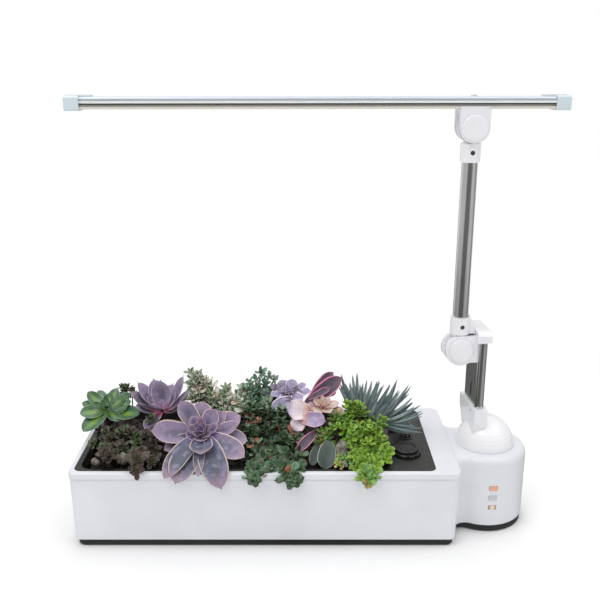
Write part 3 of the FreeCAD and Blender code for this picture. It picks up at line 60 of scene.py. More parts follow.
class Slot(Enum):
    """The record's material slots, one kept by each new piece; the pieces take their finish from
    their own skins.
    """

    MEDIUM = "medium"
    STONE = "stone"
    GREEN = "leaf_green"
    PURPLE = "leaf_purple"
    LILAC = "leaf_lilac"
    DARK = "leaf_dark"
    VARIEGATED = "leaf_variegated"
    SEDUM = "leaf_sedum"
    BLUE = "leaf_blue"
    LIME = "leaf_lime"


class Body(Enum):
    """The moving bodies that new pieces ride on."""

    TRAY = "growing_tray"


def paint(red: int, green: int, blue: int) -> Colour:
    """Turn a screen colour into the linear one that the shader reads.

    Args:
        red: Red from 0 to 255.
        green: Green from 0 to 255.
        blue: Blue from 0 to 255.

    Returns:
        The three linear shares, each by the usual screen curve of exponent 2.4.
    """
    shares = np.array((red, green, blue)) / 255.0
    linear = np.where(shares <= 0.04045, shares / 12.92, ((shares + 0.055) / 1.055) ** 2.4)
    return tuple(float(share) for share in linear)


# Shader building


class Value:
    """A shader socket that takes part in arithmetic by adding Math nodes."""

    def __init__(self, shader: "Shader", socket: bpy.types.NodeSocket) -> None:
        """Keep the socket beside the shader it belongs to."""
        self.shader = shader
        self.socket = socket

    def _maths(self, operation: str, first: "Value | float", second: "Value | float") -> "Value":
        """Add one Math node of the given operation and return its result."""
        return self.shader.node("ShaderNodeMath", {"operation": operation}, {0: first, 1: second})

    def __add__(self, other: "Value | float") -> "Value":
        """Sum of two values."""
        return self._maths("ADD", self, other)

    __radd__ = __add__

    def __sub__(self, other: "Value | float") -> "Value":
        """This value less another."""
        return self._maths("SUBTRACT", self, other)

    def __rsub__(self, other: "Value | float") -> "Value":
        """Another value less this one."""
        return self._maths("SUBTRACT", other, self)

    def __mul__(self, other: "Value | float") -> "Value":
        """Product of two values."""
        return self._maths("MULTIPLY", self, other)

    __rmul__ = __mul__

    def between(self, low: float, high: float) -> "Value":
        """A smooth step from 0 at low to 1 at high."""
        return self.shader.node("ShaderNodeMapRange", {"interpolation_type": "SMOOTHSTEP"},
                                {"Value": self, "From Min": low, "From Max": high})


class Shader:
    """One node material under construction."""

    def __init__(self, name: str, world: bpy.types.World | None = None) -> None:
        """Start an empty material, or an empty world.

        Args:
            name: Name of the material.
            world: The world to build instead, if given.
        """
        self.material = world or bpy.data.materials.new(name)
        self.material.use_nodes = True
        self.tree = self.material.node_tree
        self.tree.nodes.clear()

    def node(self, kind: str, settings: dict[str, Any], inputs: dict[Any, Any],
             output: int | str = 0) -> Value:
        """Add a node, set its settings and then its sockets.

        Args:
            kind: The node's type.
            settings: Properties that are set first, such as an operation.
            inputs: Values or links of its sockets, by name or number.
            output: The output that is wanted.

        Returns:
            The wanted output as a value.
        """
        made = self.tree.nodes.new(kind)
        for key, setting in settings.items():
            setattr(made, key, setting)
        for key, given in inputs.items():
            socket = made.inputs[key]
            if isinstance(given, Value):
                self.tree.links.new(given.socket, socket)
            elif socket.type == "RGBA":
                socket.default_value = (*given, 1.0)
            else:
                socket.default_value = given
        return Value(self, made.outputs[output])

    def place(self) -> Value:
        """The place of a point in the piece's own frame, in metres."""
        return self.node("ShaderNodeTexCoord", {}, {}, "Object")

    def parts(self, vector: Value) -> list[Value]:
        """The three numbers of a vector."""
        return [self.node("ShaderNodeSeparateXYZ", {}, {0: vector}, axis) for axis in range(3)]

    def turned(self, scale: Sequence[float], turn: float = 0.0) -> Value:
        """The place of a point, turned about the upright axis and then stretched.

        Args:
            scale: Stretch along the three axes.
            turn: Turn about the upright axis in radians.

        Returns:
            The changed place.
        """
        upright = self.node("ShaderNodeMapping", {},
                            {"Vector": self.place(), "Rotation": (0.0, 0.0, -turn)})
        return self.node("ShaderNodeMapping", {}, {"Vector": upright, "Scale": tuple(scale)})

    def noise(self, size: float, detail: float = 2.0, where: Value | None = None) -> Value:
        """Cloudy noise from about 0.3 to 0.7.

        Args:
            size: Size of one cloud in metres, or in units of the given place.
            detail: Number of finer layers.
            where: Place to read at, the piece's own frame if left out.

        Returns:
            The noise.
        """
        return self.node("ShaderNodeTexNoise", {}, {"Vector": where or self.place(),
                                                    "Scale": 1.0 / size, "Detail": detail})

    def attribute(self, name: str) -> Value:
        """One of the piece's own numbers."""
        return self.node("ShaderNodeAttribute", {"attribute_name": name}, {}, "Fac")

    def mix(self, share: Value | float, low: Value | Colour, high: Value | Colour) -> Value:
        """Blend two colours.

        Args:
            share: Share of the second colour.
            low: First colour.
            high: Second colour.

        Returns:
            The blended colour.
        """
        return self.node("ShaderNodeMix", {"data_type": "RGBA"}, {0: share, 6: low, 7: high}, 2)

    def bump(self, height: Value, depth: float, strength: float = 1.0) -> Value:
        """A surface direction from a height.

        Args:
            height: Height from 0 to 1.
            depth: What a height of 1 stands for, in metres.
            strength: Share of the effect.

        Returns:
            The direction.
        """
        return self.node("ShaderNodeBump", {}, {"Height": height, "Distance": depth,
                                                "Strength": strength})

    def finish(self, sockets: dict[str, Any]) -> bpy.types.Material:
        """Close the material with one surface shader.

        Args:
            sockets: Values or links of the shader's sockets, by name.

        Returns:
            The finished material.
        """
        surface = self.node("ShaderNodeBsdfPrincipled", {}, sockets)
        self.node_out(surface)
        return self.material

    def node_out(self, surface: Value, kind: str = "ShaderNodeOutputMaterial") -> None:
        """Lead a surface or a sky to the output."""
        made = self.tree.nodes.new(kind)
        self.tree.links.new(surface.socket, made.inputs["Surface"])


@dataclass(frozen=True)
class Moulding:
    """A moulded plastic or rubber: an even colour with a faint moulded skin.

    The colour drifts by a few percent over clouds of 60 mm, and fine clouds of the grain's size
    lift the surface by the grain's depth and vary its gloss. Where a seam is given, a painted
    shadow line of its width runs at its height on all that lies left of its end: a darker copy of
    the colour that stands in for the shade in the seam's groove.
    """

    name: str
    colour: Colour
    roughness: float
    coat: float = 0.0
    grain: float = 0.0015
    depth: float = 0.00001
    drift: float = 0.04
    seam: float = 0.0
    seam_end: float = 0.0
    seam_width: float = 0.0011

    def material(self) -> bpy.types.Material:
        """Build the material."""
        shader = Shader(self.name)
        cloud = shader.noise(0.06, 3.0)
        fine = shader.noise(self.grain, 2.0)
        shade = tuple(share * (1.0 - self.drift) for share in self.colour)
        light = tuple(min(1.0, share * (1.0 + self.drift * 0.5)) for share in self.colour)
        colour = shader.mix(cloud.between(0.3, 0.7), shade, light)
        if self.seam:
            right, _, height = shader.parts(shader.place())
            # Painted shadow: a thin band of a darker copy of the colour at the seam's height, for
            # the shade in its groove
            line = (height.between(self.seam - self.seam_width, self.seam - 0.0001)
                    * height.between(self.seam + 0.0002, self.seam)
                    * right.between(self.seam_end + 0.001, self.seam_end))
            colour = shader.mix(line * 0.75, colour, tuple(share * 0.3 for share in self.colour))
        return shader.finish({
            "Base Color": colour,
            "Roughness": fine * 0.06 + cloud * 0.05 + (self.roughness - 0.055),
            "Coat Weight": self.coat, "Coat Roughness": 0.06,
            "Normal": shader.bump(fine, self.depth)})


@dataclass(frozen=True)
class BrushedMetal:
    """Drawn or brushed metal with fine upright streaks.

    Streaks are noise that is stretched upwards by the given factor. They vary the colour
    and the gloss and lift the surface by the depth.
    """

    name: str
    colour: Colour
    roughness: float
    streak: float = 0.0005
    stretch: float = 60.0
    depth: float = 0.000006
    metal: float = 1.0

    def material(self) -> bpy.types.Material:
        """Build the material."""
        shader = Shader(self.name)
        scale = (1.0 / self.streak, 1.0 / self.streak, 1.0 / self.streak / self.stretch)
        lines = shader.noise(1.0, 3.0, shader.turned(scale))
        stain = shader.noise(0.03, 2.0)
        dark = tuple(share * 0.82 for share in self.colour)
        return shader.finish({
            "Base Color": shader.mix(lines.between(0.35, 0.65), dark, self.colour),
            "Metallic": self.metal,
            "Roughness": lines * 0.12 + stain * 0.08 + (self.roughness - 0.1),
            "Normal": shader.bump(lines, self.depth)})


@dataclass(frozen=True)
class Rail:
    """Drawn aluminium with grooves: a colour for each band of height, and fine streaks.

    A ramp gives the colour by the height above the rail's low edge, as a share of its own
    height. Each stop is such a share and its colour. Most bands paint light into the colour: a
    painted shadow in the groove, a painted highlight band and a painted reflection that pales
    towards the top.
    """

    name: str
    low: float
    high: float
    stops: tuple[tuple[float, Colour], ...]
    turn: float
    roughness: float = 0.32
    metal: float = 0.3
    streak: float = 0.0005
    stretch: float = 60.0

    def material(self) -> bpy.types.Material:
        """Build the material."""
        shader = Shader(self.name)
        height = shader.parts(shader.place())[2]
        share = (height - self.low) * (1.0 / (self.high - self.low))
        # The stops hold painted shadow in the groove, a painted highlight band and a painted
        # reflection
        colour = self.stops[0][1]
        for (start, _), (end, following) in zip(self.stops, self.stops[1:]):
            colour = shader.mix(share.between(start, end), colour, following)
        scale = (1.0 / (self.streak * self.stretch), 1.0 / self.streak, 1.0 / self.streak)
        lines = shader.noise(1.0, 3.0, shader.turned(scale, self.turn))
        dark = shader.mix(0.1, colour, (0.0, 0.0, 0.0))
        return shader.finish({
            "Base Color": shader.mix(lines.between(0.35, 0.65), dark, colour),
            "Metallic": self.metal, "Roughness": lines * 0.12 + (self.roughness - 0.06),
            "Normal": shader.bump(lines, 0.000006)})


@dataclass(frozen=True)
class Glow:
    """A light strip or its milky cover, lit a little by itself."""

    name: str
    colour: Colour
    glow: Colour
    strength: float

    def material(self) -> bpy.types.Material:
        """Build the material."""
        shader = Shader(self.name)
        cloud = shader.noise(0.004, 1.0)
        pale = tuple(share * 0.94 for share in self.colour)
        return shader.finish({
            "Base Color": shader.mix(cloud, pale, self.colour), "Roughness": cloud * 0.1 + 0.35,
            "Emission Color": self.glow, "Emission Strength": self.strength})


@dataclass(frozen=True)
class Granular:
    """Soil, fired clay or stone: patches of two colours on a rough, pitted surface."""

    name: str
    dark: Colour
    light: Colour
    patch: float
    roughness: float = 0.9
    depth: float = 0.0006

    def material(self) -> bpy.types.Material:
        """Build the material."""
        shader = Shader(self.name)
        patch = shader.noise(self.patch, 4.0)
        fine = shader.noise(self.patch * 0.2, 3.0)
        return shader.finish({
            "Base Color": shader.mix((patch * 0.6 + fine * 0.4).between(0.38, 0.64),
                                     self.dark, self.light),
            "Roughness": fine * 0.2 + (self.roughness - 0.1),
            "Normal": shader.bump(patch * 0.5 + fine, self.depth)})


@dataclass(frozen=True)
class LeafSkin:
    """A leaf's skin: a heart, a body, a tip and a margin, with a second set for odd leaves.

    The colour goes from the heart to the body over the leaf's first part and on to the tip over
    its last. The middle's colour fills the groove along the leaf: in the lilac skins it is a
    darker painted shade in the leaf's hollow, in the green skin the leaf's own lime streak. The
    margin's colour takes over where the distance across passes the margin's start. The number
    called tone moves a leaf to the second body and margin, a tone near 0 to a painted shade for
    leaves deep inside the plant, and one near 1 to a rare colour. Veins run along the leaf, and
    clouds of painted sheen, pale highlights, lie over it.
    """

    name: str
    heart: Colour
    body: Colour
    tip: Colour
    middle: Colour
    margin: Colour
    under: Colour
    odd_body: Colour
    odd_margin: Colour
    inner_shade: Colour
    painted_sheen: Colour
    rare: Colour = paint(196, 104, 96)
    margin_start: float = 0.93
    heart_end: float = 0.4
    tip_start: float = 0.7
    groove: float = 0.45
    groove_end: float = 0.7
    painted_sheen_share: float = 0.35
    streak: float = 0.25
    cloud: float = 0.007
    roughness: float = 0.42

    def material(self) -> bpy.types.Material:
        """Build the material."""
        shader = Shader(self.name)
        along = shader.attribute("along")
        across = shader.attribute("across")
        tone = shader.attribute("tone")
        upper = shader.attribute("upper")
        cloud = shader.noise(self.cloud, 3.0)
        fine = shader.noise(0.0012, 2.0)
        where = shader.node("ShaderNodeCombineXYZ", {}, {0: across * 7.0, 1: along * 1.6,
                                                         2: tone * 37.0})
        veins = shader.noise(1.0, 2.0, where)
        odd = tone.between(0.55, 0.8)
        body = shader.mix(odd, self.body, self.odd_body)
        body = shader.mix(tone.between(0.95, 0.96), body, self.rare)
        body = shader.mix(along.between(self.tip_start, 1.0) * 0.8, body, self.tip)
        body = shader.mix(veins.between(0.45, 0.62) * self.streak, body, self.heart)
        # The groove's colour: painted shade in the lilac skins, the leaf's own lime streak in the
        # green skin
        groove_tint_and_shade = across.between(self.groove_end, 0.05) * along.between(1.0, 0.55) * self.groove
        body = shader.mix(groove_tint_and_shade, body, self.middle)
        body = shader.mix(along.between(self.heart_end, 0.05), body, self.heart)
        # Painted sheen: pale clouds that stand in for highlights on the leaf
        body = shader.mix(cloud.between(0.45, 0.7) * self.painted_sheen_share, body, self.painted_sheen)
        body = shader.mix((1.0 - upper) * 0.75, body, self.under)
        edge = (across + fine * 0.04).between(self.margin_start, self.margin_start + 0.07)
        body = shader.mix(edge, body, shader.mix(odd, self.margin, self.odd_margin))
        return shader.finish({
            # Painted shade: leaves of tone near 0 darken towards this colour, for the shade deep
            # inside the plant
            "Base Color": shader.mix(tone.between(0.14, 0.0) * 0.85, body, self.inner_shade),
            "Roughness": cloud * 0.3 + (self.roughness - 0.15),
            "Normal": shader.bump(veins * 0.6 + fine * 0.4, 0.0002)})


# Surfaces


def ring_faces(rings: int, sides: int, over: bool = False) -> np.ndarray:
    """Faces of four on a closed skin of rings, whose two poles come after the last ring.

    Point j of ring i joins point j of the next ring, that point's neighbour and its own
    neighbour. The first and the last ring close on the poles with faces that name a pole twice.

    Args:
        rings: Rings between the poles.
        sides: Points round a ring.
        over: Whether the faces are turned over, for rings that run the other way.

    Returns:
        Faces, a row each.
    """
    i = np.arange(rings - 1)[:, None] * sides
    j = np.arange(sides)[None]
    following = (j + 1) % sides
    quads = np.stack([i + j, i + sides + j, i + sides + following, i + following],
                     -1).reshape(-1, 4)
    pole, last = rings * sides, (rings - 1) * sides
    start = np.stack([j[0], following[0], np.full(sides, pole), np.full(sides, pole)], -1)
    end = np.stack([last + following[0], last + j[0], np.full(sides, pole + 1),
                    np.full(sides, pole + 1)], -1)
    fans = np.concatenate([start, end])
    if over:
        quads, fans = quads[:, [0, 3, 2, 1]], fans[:, [1, 0, 2, 3]]
    return np.concatenate([quads, fans])


class LeafShape(Enum):
    """Outlines of leaves: widest place, breadth of the base, fullness below and at the tip."""

    SPOON = (0.66, 0.30, 1.2, 2.1, 0.62)
    OVAL = (0.55, 0.30, 1.3, 2.0, 0.52)
    FINGER = (0.30, 0.75, 1.5, 2.4, 0.75)
    ROUND = (0.62, 0.22, 1.1, 2.2, 0.50)
    ROD = (0.50, 0.96, 2.0, 9.0, 0.50)

    def breadth(self, along: np.ndarray) -> np.ndarray:
        """Share of the full width at places along the leaf.

        Below the widest place the share rises from the base's breadth as one less a power of the
        way left to go. Above it, it falls as one less a power of the way gone, raised to the
        tip's exponent.

        Args:
            along: Places from 0 at the base to 1 at the tip.

        Returns:
            The shares.
        """
        widest, base, rise, fall, round_tip = self.value
        low = np.clip((widest - along) / widest, 0.0, 1.0)
        high = np.clip((along - widest) / (1.0 - widest), 0.0, 1.0)
        below = base + (1.0 - base) * (1.0 - low ** (1.0 + rise))
        above = (1.0 - high ** fall) ** round_tip
        return np.where(along < widest, below, np.maximum(above, 0.03))


@dataclass
class LeafBatch:
    """Many leaves of one shape, each from a base to a tip, worked out as whole arrays.

    A leaf's middle line is the straight way from base to tip, less a sag of the bow times its
    length times 4 u (1 - u) towards its upper side. Its section at u is a flat oval with an angle
    v: cos v times half the width across, sin v times half the thickness up, and the cup times
    cos v squared times half the width, which lifts both edges. A ruffle adds a wave of u at the
    edges alone, and a cusp moves the last point on by a share of the length.
    """

    base: np.ndarray
    tip: np.ndarray
    up: np.ndarray
    width: np.ndarray
    thick: np.ndarray
    bow: np.ndarray
    cup: np.ndarray
    tone: np.ndarray
    shape: LeafShape = LeafShape.SPOON
    ruffle: float = 0.0
    cusp: float = 0.0
    rings: int = 14
    sides: int = 14

    def surface(self) -> tuple[np.ndarray, np.ndarray, dict[str, np.ndarray]]:
        """Work out the leaves' points, faces and numbers.

        Returns:
            Points, faces as rows of four (a triangle repeats its last point), and the numbers
            along, across, tone and upper at each point.
        """
        count = len(self.base)
        way = self.tip - self.base
        length = np.linalg.norm(way, axis=1, keepdims=True)
        chord = way / length
        lift = self.up - chord * np.sum(self.up * chord, axis=1, keepdims=True)
        lift /= np.linalg.norm(lift, axis=1, keepdims=True) + 1e-9
        side = np.cross(chord, lift)
        # Rings crowd towards both ends, by half a cosine
        u = 0.5 - 0.5 * np.cos(np.linspace(0.06, 1.0 - 0.045, self.rings) * math.pi)
        v = np.arange(self.sides) / self.sides * 2.0 * math.pi
        sag = (self.bow[:, None] * length)[:, None, :]
        ring_u = u[None, :, None]
        middle = (self.base[:, None] + way[:, None] * ring_u
                  - lift[:, None] * sag * 4.0 * ring_u * (1.0 - ring_u))
        ahead = way[:, None] - lift[:, None] * sag * 4.0 * (1.0 - 2.0 * ring_u)
        ahead /= np.linalg.norm(ahead, axis=2, keepdims=True)
        normal = np.cross(np.broadcast_to(side[:, None], ahead.shape), ahead)
        half = 0.5 * self.width[:, None] * self.shape.breadth(u)[None]
        deep = 0.5 * self.thick[:, None] * np.clip(self.shape.breadth(u) ** 0.5
                                                   * (1.0 - 0.45 * u), 0.05, 1.0)[None]
        across = np.cos(v)[None, None]
        rise = np.sin(v)[None, None]
        wave = np.sin(u[None, :, None] * 15.0 + self.tone[:, None, None] * 40.0)
        up = (deep[..., None] * np.where(rise > 0.0, rise * 0.6, rise)
              + half[..., None] * (self.cup[:, None, None] * across ** 2
                                   + self.ruffle * wave * np.abs(across) ** 3))
        points = (middle[:, :, None] + side[:, None, None] * (half[..., None] * across)[..., None]
                  + normal[:, :, None] * up[..., None])
        points = points.reshape(count, -1, 3)
        ring = self.rings * self.sides
        last_point = self.tip + ahead[:, -1] * length * self.cusp
        points = np.concatenate([points, self.base[:, None], last_point[:, None]], axis=1)
        faces = ring_faces(self.rings, self.sides)
        faces = (faces[None] + (np.arange(count) * (ring + 2))[:, None, None]).reshape(-1, 4)
        shape = (count, self.rings, self.sides)
        flat = {
            "along": (np.broadcast_to(u[None, :, None], shape), 0.0, 1.0),
            "across": (np.broadcast_to(np.abs(across), shape), 0.3, 1.0),
            "upper": (np.broadcast_to(np.clip(rise * 2.0 + 0.6, 0.0, 1.0), shape), 0.5, 0.5),
        }
        numbers = {name: np.concatenate([grid.reshape(count, -1), np.full((count, 1), low),
                                         np.full((count, 1), high)], axis=1).ravel()
                   for name, (grid, low, high) in flat.items()}
        numbers["tone"] = np.repeat(self.tone, ring + 2)
        return points.reshape(-1, 3), faces, numbers


def make_piece(name: str, surfaces: Iterable[tuple[np.ndarray, np.ndarray, dict[str, np.ndarray]]],
               materials: Sequence[bpy.types.Material]) -> bpy.types.Object:
    """Join surfaces into one object at the origin, one material to a surface.

    Args:
        name: Name of the piece.
        surfaces: Points in millimetres from the rim's corner, faces of four, and numbers.
        materials: One material for each surface, in the same order.

    Returns:
        The object, with its place in its mesh.
    """
    points, loops, starts, sizes, index, numbers = [], [], [], [], [], {}
    shift = 0
    corner = 0
    for number, (spots, faces, values) in enumerate(surfaces):
        points.append(spots)
        size = np.where(faces[:, 2] == faces[:, 3], 3, 4)
        keep = np.arange(4)[None] < size[:, None]
        loops.append((faces + shift)[keep])
        starts.append(corner + np.concatenate([[0], np.cumsum(size)[:-1]]))
        index.append(np.full(len(faces), number))
        sizes.append(size)
        for key in ("along", "across", "tone", "upper"):
            numbers.setdefault(key, []).append(values.get(key, np.zeros(len(spots))))
        shift += len(spots)
        corner += int(size.sum())
    mesh = bpy.data.meshes.new(name)
    places = to_row(np.concatenate(points))
    mesh.vertices.add(len(places))
    mesh.vertices.foreach_set("co", places.astype(np.float32).ravel())
    mesh.loops.add(corner)
    mesh.loops.foreach_set("vertex_index", np.concatenate(loops).astype(np.int32))
    mesh.polygons.add(sum(len(size) for size in sizes))
    mesh.polygons.foreach_set("loop_start", np.concatenate(starts).astype(np.int32))
    mesh.polygons.foreach_set("material_index", np.concatenate(index).astype(np.int32))
    mesh.update(calc_edges=True)
    for key, values in numbers.items():
        attribute = mesh.attributes.new(key, "FLOAT", "POINT")
        attribute.data.foreach_set("value", np.concatenate(values).astype(np.float32))
    for material in materials:
        mesh.materials.append(material)
    mesh.polygons.foreach_set("use_smooth", np.ones(len(mesh.polygons), bool))
    mesh.validate()
    made = bpy.data.objects.new(name, mesh)
    bpy.context.scene.collection.objects.link(made)
    return made


def to_row(places: np.ndarray) -> np.ndarray:
    """Turn places in millimetres from the rim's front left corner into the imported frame."""
    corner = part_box("top_housing")[0]
    return np.asarray(places, float) * MM + np.array((corner.x, corner.y, 0.0))


@dataclass(frozen=True)
class PhotoView:
    """The camera, in millimetres from the planter's front left rim corner."""

    stand: tuple[float, float, float] = (242.0, -750.0, 506.0)
    pitch: float = math.radians(16.8)
    focal: float = 800.0
    axis: tuple[float, float] = (297.0, 300.0)
    size: float = 600.0
    sensor: float = 36.0

    def place(self, right: np.ndarray, down: np.ndarray, depth: np.ndarray) -> np.ndarray:
        """Find the places that are seen at spots of the picture.

        The way to a spot runs forward by one, right by its distance from the axis over the focal
        length and down likewise, turned by the pitch. It is followed to the given depth.

        Args:
            right: Spots from the picture's left edge, in pixels.
            down: Spots from the picture's top edge, in pixels.
            depth: Depths behind the planter's front edge, in millimetres.

        Returns:
            Places in millimetres from the rim's front left corner.
        """
        rise = (self.axis[1] - np.asarray(down, float)) / self.focal
        cosine, sine = math.cos(self.pitch), math.sin(self.pitch)
        ahead = cosine + sine * rise
        climb = -sine + cosine * rise
        reach = (np.asarray(depth, float) - self.stand[1]) / ahead
        x = self.stand[0] + reach * (np.asarray(right, float) - self.axis[0]) / self.focal
        return np.stack([x, np.asarray(depth, float) + 0.0 * x, self.stand[2] + reach * climb], -1)

    def camera(self) -> bpy.types.Object:
        """Make the scene's camera."""
        data = bpy.data.cameras.new("camera")
        data.sensor_width = self.sensor
        data.lens = self.focal * self.sensor / self.size
        data.shift_x = (self.size / 2.0 - self.axis[0]) / self.size
        made = bpy.data.objects.new("camera", data)
        made.location = to_row(np.array(self.stand))
        made.rotation_euler = (math.pi / 2.0 - self.pitch, 0.0, 0.0)
        bpy.context.scene.collection.objects.link(made)
        bpy.context.scene.camera = made
        return made


VIEW = PhotoView()
# How far a cluster's leaves may reach in front of the planter, in the planter's millimetres.
FOREMOST = -12.6
Row = tuple[float, ...]


# Plants


@dataclass
class Plant:
    """Anything that grows in the tray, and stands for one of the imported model's nodes."""

    name: str
    node: str
    slot: Slot

    def settle(self, made: bpy.types.Object) -> bpy.types.Object:
        """Let the finished piece ride with the tray in its node's place.

        Args:
            made: The plant's object.

        Returns:
            The same object.
        """
        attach(made, Body.TRAY.value)
        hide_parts(self.node)
        LOG.info("%s: %d faces", made.name, len(made.data.polygons))
        return made


def stems(ends: np.ndarray, foot: np.ndarray, width: float, bow: float = 0.1) -> LeafBatch:
    """Round stalks from feet to ends.

    Args:
        ends: Upper ends in millimetres.
        foot: Lower ends in millimetres.
        width: Thickness in millimetres.
        bow: Sag as a share of the length.

    Returns:
        The stalks as a batch of round leaves.
    """
    count = len(ends)
    return LeafBatch(base=np.broadcast_to(foot, ends.shape).astype(float), tip=ends.astype(float),
                     up=np.tile((0.3, -1.0, 0.2), (count, 1)), width=np.full(count, width),
                     thick=np.full(count, width * 1.4), bow=np.full(count, bow),
                     cup=np.zeros(count), tone=np.linspace(0.0, 0.5, count),
                     shape=LeafShape.ROD, rings=5, sides=6)


@dataclass
class Rosette(Plant):
    """Leaves about one heart. Each row of leaves is right, down, depth, width, bow and tone.
    Further small leaves fill the heart: leaf k turns by k golden angles about the axis, and its
    length and lean fall with k.
    """

    heart: tuple[float, float, float] = (0.0, 0.0, 0.0)
    axis: tuple[float, float, float] = (0.0, 0.0, 1.0)
    leaves: tuple[Row, ...] = ()
    skin: LeafSkin | None = None
    shape: LeafShape = LeafShape.SPOON
    thick: float = 3.4
    cup: float = 0.35
    ruffle: float = 0.0
    cusp: float = 0.025
    core_count: int = 10
    core_length: float = 16.0
    core_width: float = 9.0
    foot: float = 79.0

    def batches(self) -> list[LeafBatch]:
        """Work out the placed leaves, the heart's leaves and the stalk.

        Returns:
            The three batches.
        """
        heart = VIEW.place(*(np.array([part]) for part in self.heart))[0]
        axis = np.array(self.axis) / np.linalg.norm(self.axis)
        rows = np.array(self.leaves, float)
        tips = VIEW.place(rows[:, 0], rows[:, 1], rows[:, 2])
        way = tips - heart
        length = np.linalg.norm(way, axis=1, keepdims=True)
        radial = way - axis * (way @ axis)[:, None]
        radial /= np.linalg.norm(radial, axis=1, keepdims=True) + 1e-6
        base = heart + radial * 2.0 - axis * (2.0 + 0.10 * length)
        placed = LeafBatch(base=base, tip=tips, up=axis - 0.5 * radial, width=rows[:, 3],
                           thick=np.minimum(self.thick, rows[:, 3] * 0.3), bow=rows[:, 4],
                           cup=np.full(len(rows), self.cup), tone=rows[:, 5], shape=self.shape,
                           ruffle=self.ruffle, cusp=self.cusp, rings=18, sides=18)
        k = np.arange(self.core_count)
        share = 1.0 - k / (self.core_count + 3.0)
        lean = np.radians(58.0) * share
        first = np.cross(axis, (0.0, 1.0, 0.0))
        first /= np.linalg.norm(first)
        second = np.cross(axis, first)
        turn = k * GOLDEN
        out = np.cos(turn)[:, None] * first + np.sin(turn)[:, None] * second
        reach = (self.core_length * (0.35 + 0.65 * share))[:, None]
        direction = axis * np.cos(lean)[:, None] + out * np.sin(lean)[:, None]
        low = heart - axis * 2.0 + out * 0.6
        core = LeafBatch(base=low, tip=low + direction * reach, up=axis - 0.6 * out,
                         width=self.core_width * (0.35 + 0.65 * share),
                         thick=np.full(len(k), self.thick * 0.5), bow=np.full(len(k), 0.12),
                         cup=np.full(len(k), self.cup + 0.15), tone=np.full(len(k), 0.2),
                         shape=self.shape, cusp=self.cusp, rings=9, sides=10)
        stalk = stems(heart[None] - axis * 3.0,
                      np.array([[heart[0], max(heart[1] * 0.8 + 10.0, 24.0), self.foot]]), 7.0)
        return [stalk, placed, core]

    def build(self) -> bpy.types.Object:
        """Build the rosette as one piece."""
        skin = self.skin.material()
        return self.settle(make_piece(self.name, [batch.surface() for batch in self.batches()],
                                      [STALK.material(), skin, skin]))


@dataclass
class LooseLeaves(Plant):
    """Single leaves. A row is the base's right, down and depth, the tip's, width, bow, tone."""

    leaves: tuple[Row, ...] = ()
    skin: LeafSkin | None = None
    shape: LeafShape = LeafShape.SPOON
    thick: float = 1.8
    cup: float = 0.25
    ruffle: float = 0.0
    cusp: float = 0.04
    up: tuple[float, float, float] = (0.0, -0.75, 0.66)

    def build(self) -> bpy.types.Object:
        """Build the leaves as one piece."""
        rows = np.array(self.leaves, float)
        count = len(rows)
        batch = LeafBatch(base=VIEW.place(rows[:, 0], rows[:, 1], rows[:, 2]),
                          tip=VIEW.place(rows[:, 3], rows[:, 4], rows[:, 5]),
                          up=np.tile(self.up, (count, 1)), width=rows[:, 6],
                          thick=np.full(count, self.thick), bow=rows[:, 7],
                          cup=np.full(count, self.cup), tone=rows[:, 8], shape=self.shape,
                          ruffle=self.ruffle, cusp=self.cusp, rings=22, sides=20)
        return self.settle(make_piece(self.name, [batch.surface()], [self.skin.material()]))


